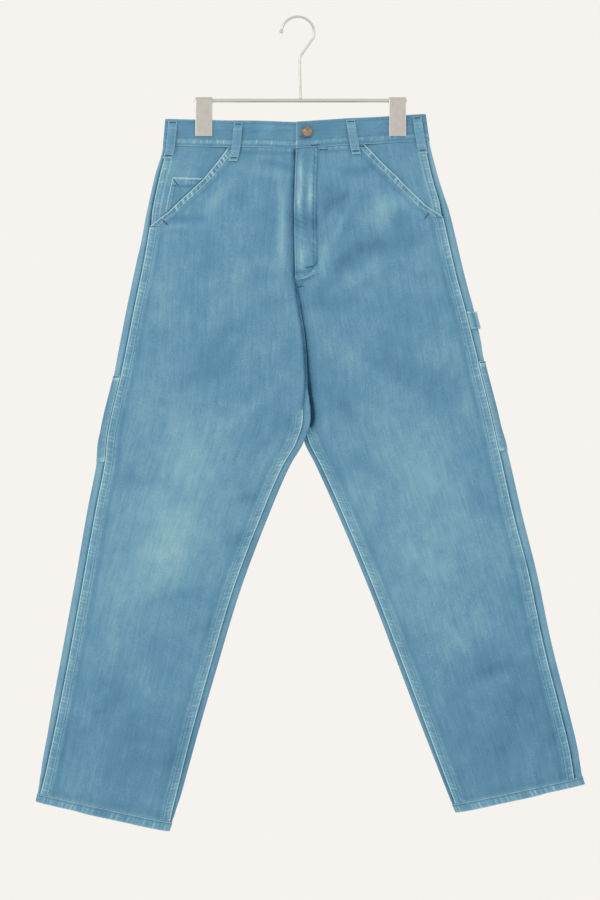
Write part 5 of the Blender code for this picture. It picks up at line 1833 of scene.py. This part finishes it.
class JEANS_OT_stage(Dress):
    """Set the floor, the lights and the camera"""

    bl_idname = "jeans.stage"
    bl_label = "Stage"

    def make(self):
        build_stage()


def soft_box(name, place, aim, size, power):
    """A square area light at a place, turned to its aim."""
    light = bpy.data.lights.new(name, "AREA")
    light.shape = "SQUARE"
    light.size = size
    light.energy = power
    made = put(name, light)
    made.location = place
    made.rotation_euler = (Vector(aim) - Vector(place)).to_track_quat("-Z", "Y").to_euler()


def build_stage():
    """A matt paper floor below the legs, a pale room, two soft lights and the camera.

    The floor's and the lights' own places and sizes are in metres.
    """
    s, c, scene = sizes(), colours(), bpy.context.scene
    half, front, back, floor = 2.2, -1.6, 0.9, CAD_BOX[0][2] - FLOOR_DROP * MM
    columns, rows = np.linspace(-half, half, 9), np.linspace(front, back, 5)
    mesh = bpy.data.meshes.new("floor")
    corners = [(a, a + 1, a + 10, a + 9) for r in range(4) for a in range(9 * r, 9 * r + 8)]
    mesh.from_pydata([(x, y, floor) for y in rows for x in columns], [], corners)
    mesh.materials.append(material("seamless_paper"))
    put("floor", mesh)
    scene.world = bpy.data.worlds.new("pale_room")
    scene.world.use_nodes = True
    room = scene.world.node_tree.nodes["Background"]
    room.inputs["Color"].default_value = (*c.paper, 1.0)
    room.inputs["Strength"].default_value = s.room_light
    scene.view_settings.view_transform = "Standard"
    middle = (0.0, 0.0, -0.65)
    soft_box("key_softbox", (-2.0, -2.4, 0.9), middle, 1.6, s.key_light)
    soft_box("fill_softbox", (2.3, -2.4, 0.0), middle, 2.0, s.fill_light)
    view = bpy.data.cameras.new("camera")
    view.lens = s.lens
    view.sensor_width = SENSOR
    view.dof.use_dof = False
    scene.camera = put("camera", view)
    away = PICTURE_HEIGHT * PIXEL * s.lens / SENSOR
    scene.camera.location = (CAMERA_X * MM, -away * MM, CAMERA_Z * MM)
    scene.camera.rotation_euler = (math.pi / 2, 0.0, 0.0)


STEPS = (
    JEANS_OT_stage, JEANS_OT_hanger, JEANS_OT_waistband, JEANS_OT_panels, JEANS_OT_seams,
    JEANS_OT_hip_pockets, JEANS_OT_fly, JEANS_OT_patches, JEANS_OT_hems, JEANS_OT_button,
)


class JEANS_PT_steps(bpy.types.Panel):
    """The steps of dressing the jeans"""

    bl_idname = "JEANS_PT_steps"
    bl_label = "Jeans"
    bl_space_type = "VIEW_3D"
    bl_region_type = "UI"
    bl_category = "Jeans"

    def draw(self, context):
        for step in STEPS:
            self.layout.operator(step.bl_idname)
        for group in (context.scene.jeans_sizes, context.scene.jeans_colours):
            for name in group.bl_rna.properties.keys():
                if name not in {"rna_type", "name"}:
                    self.layout.prop(group, name)


CLASSES = (JeansSizes, JeansColours, *STEPS, JEANS_PT_steps)


def register():
    for kind in CLASSES:
        bpy.utils.register_class(kind)
    bpy.types.Scene.jeans_sizes = PointerProperty(type=JeansSizes)
    bpy.types.Scene.jeans_colours = PointerProperty(type=JeansColours)


def unregister():
    del bpy.types.Scene.jeans_colours
    del bpy.types.Scene.jeans_sizes
    for kind in reversed(CLASSES):
        bpy.utils.unregister_class(kind)


def main():
    register()
    for step in STEPS:
        group, name = step.bl_idname.split(".")
        getattr(getattr(bpy.ops, group), name)()


if __name__ == "__main__":
    main()
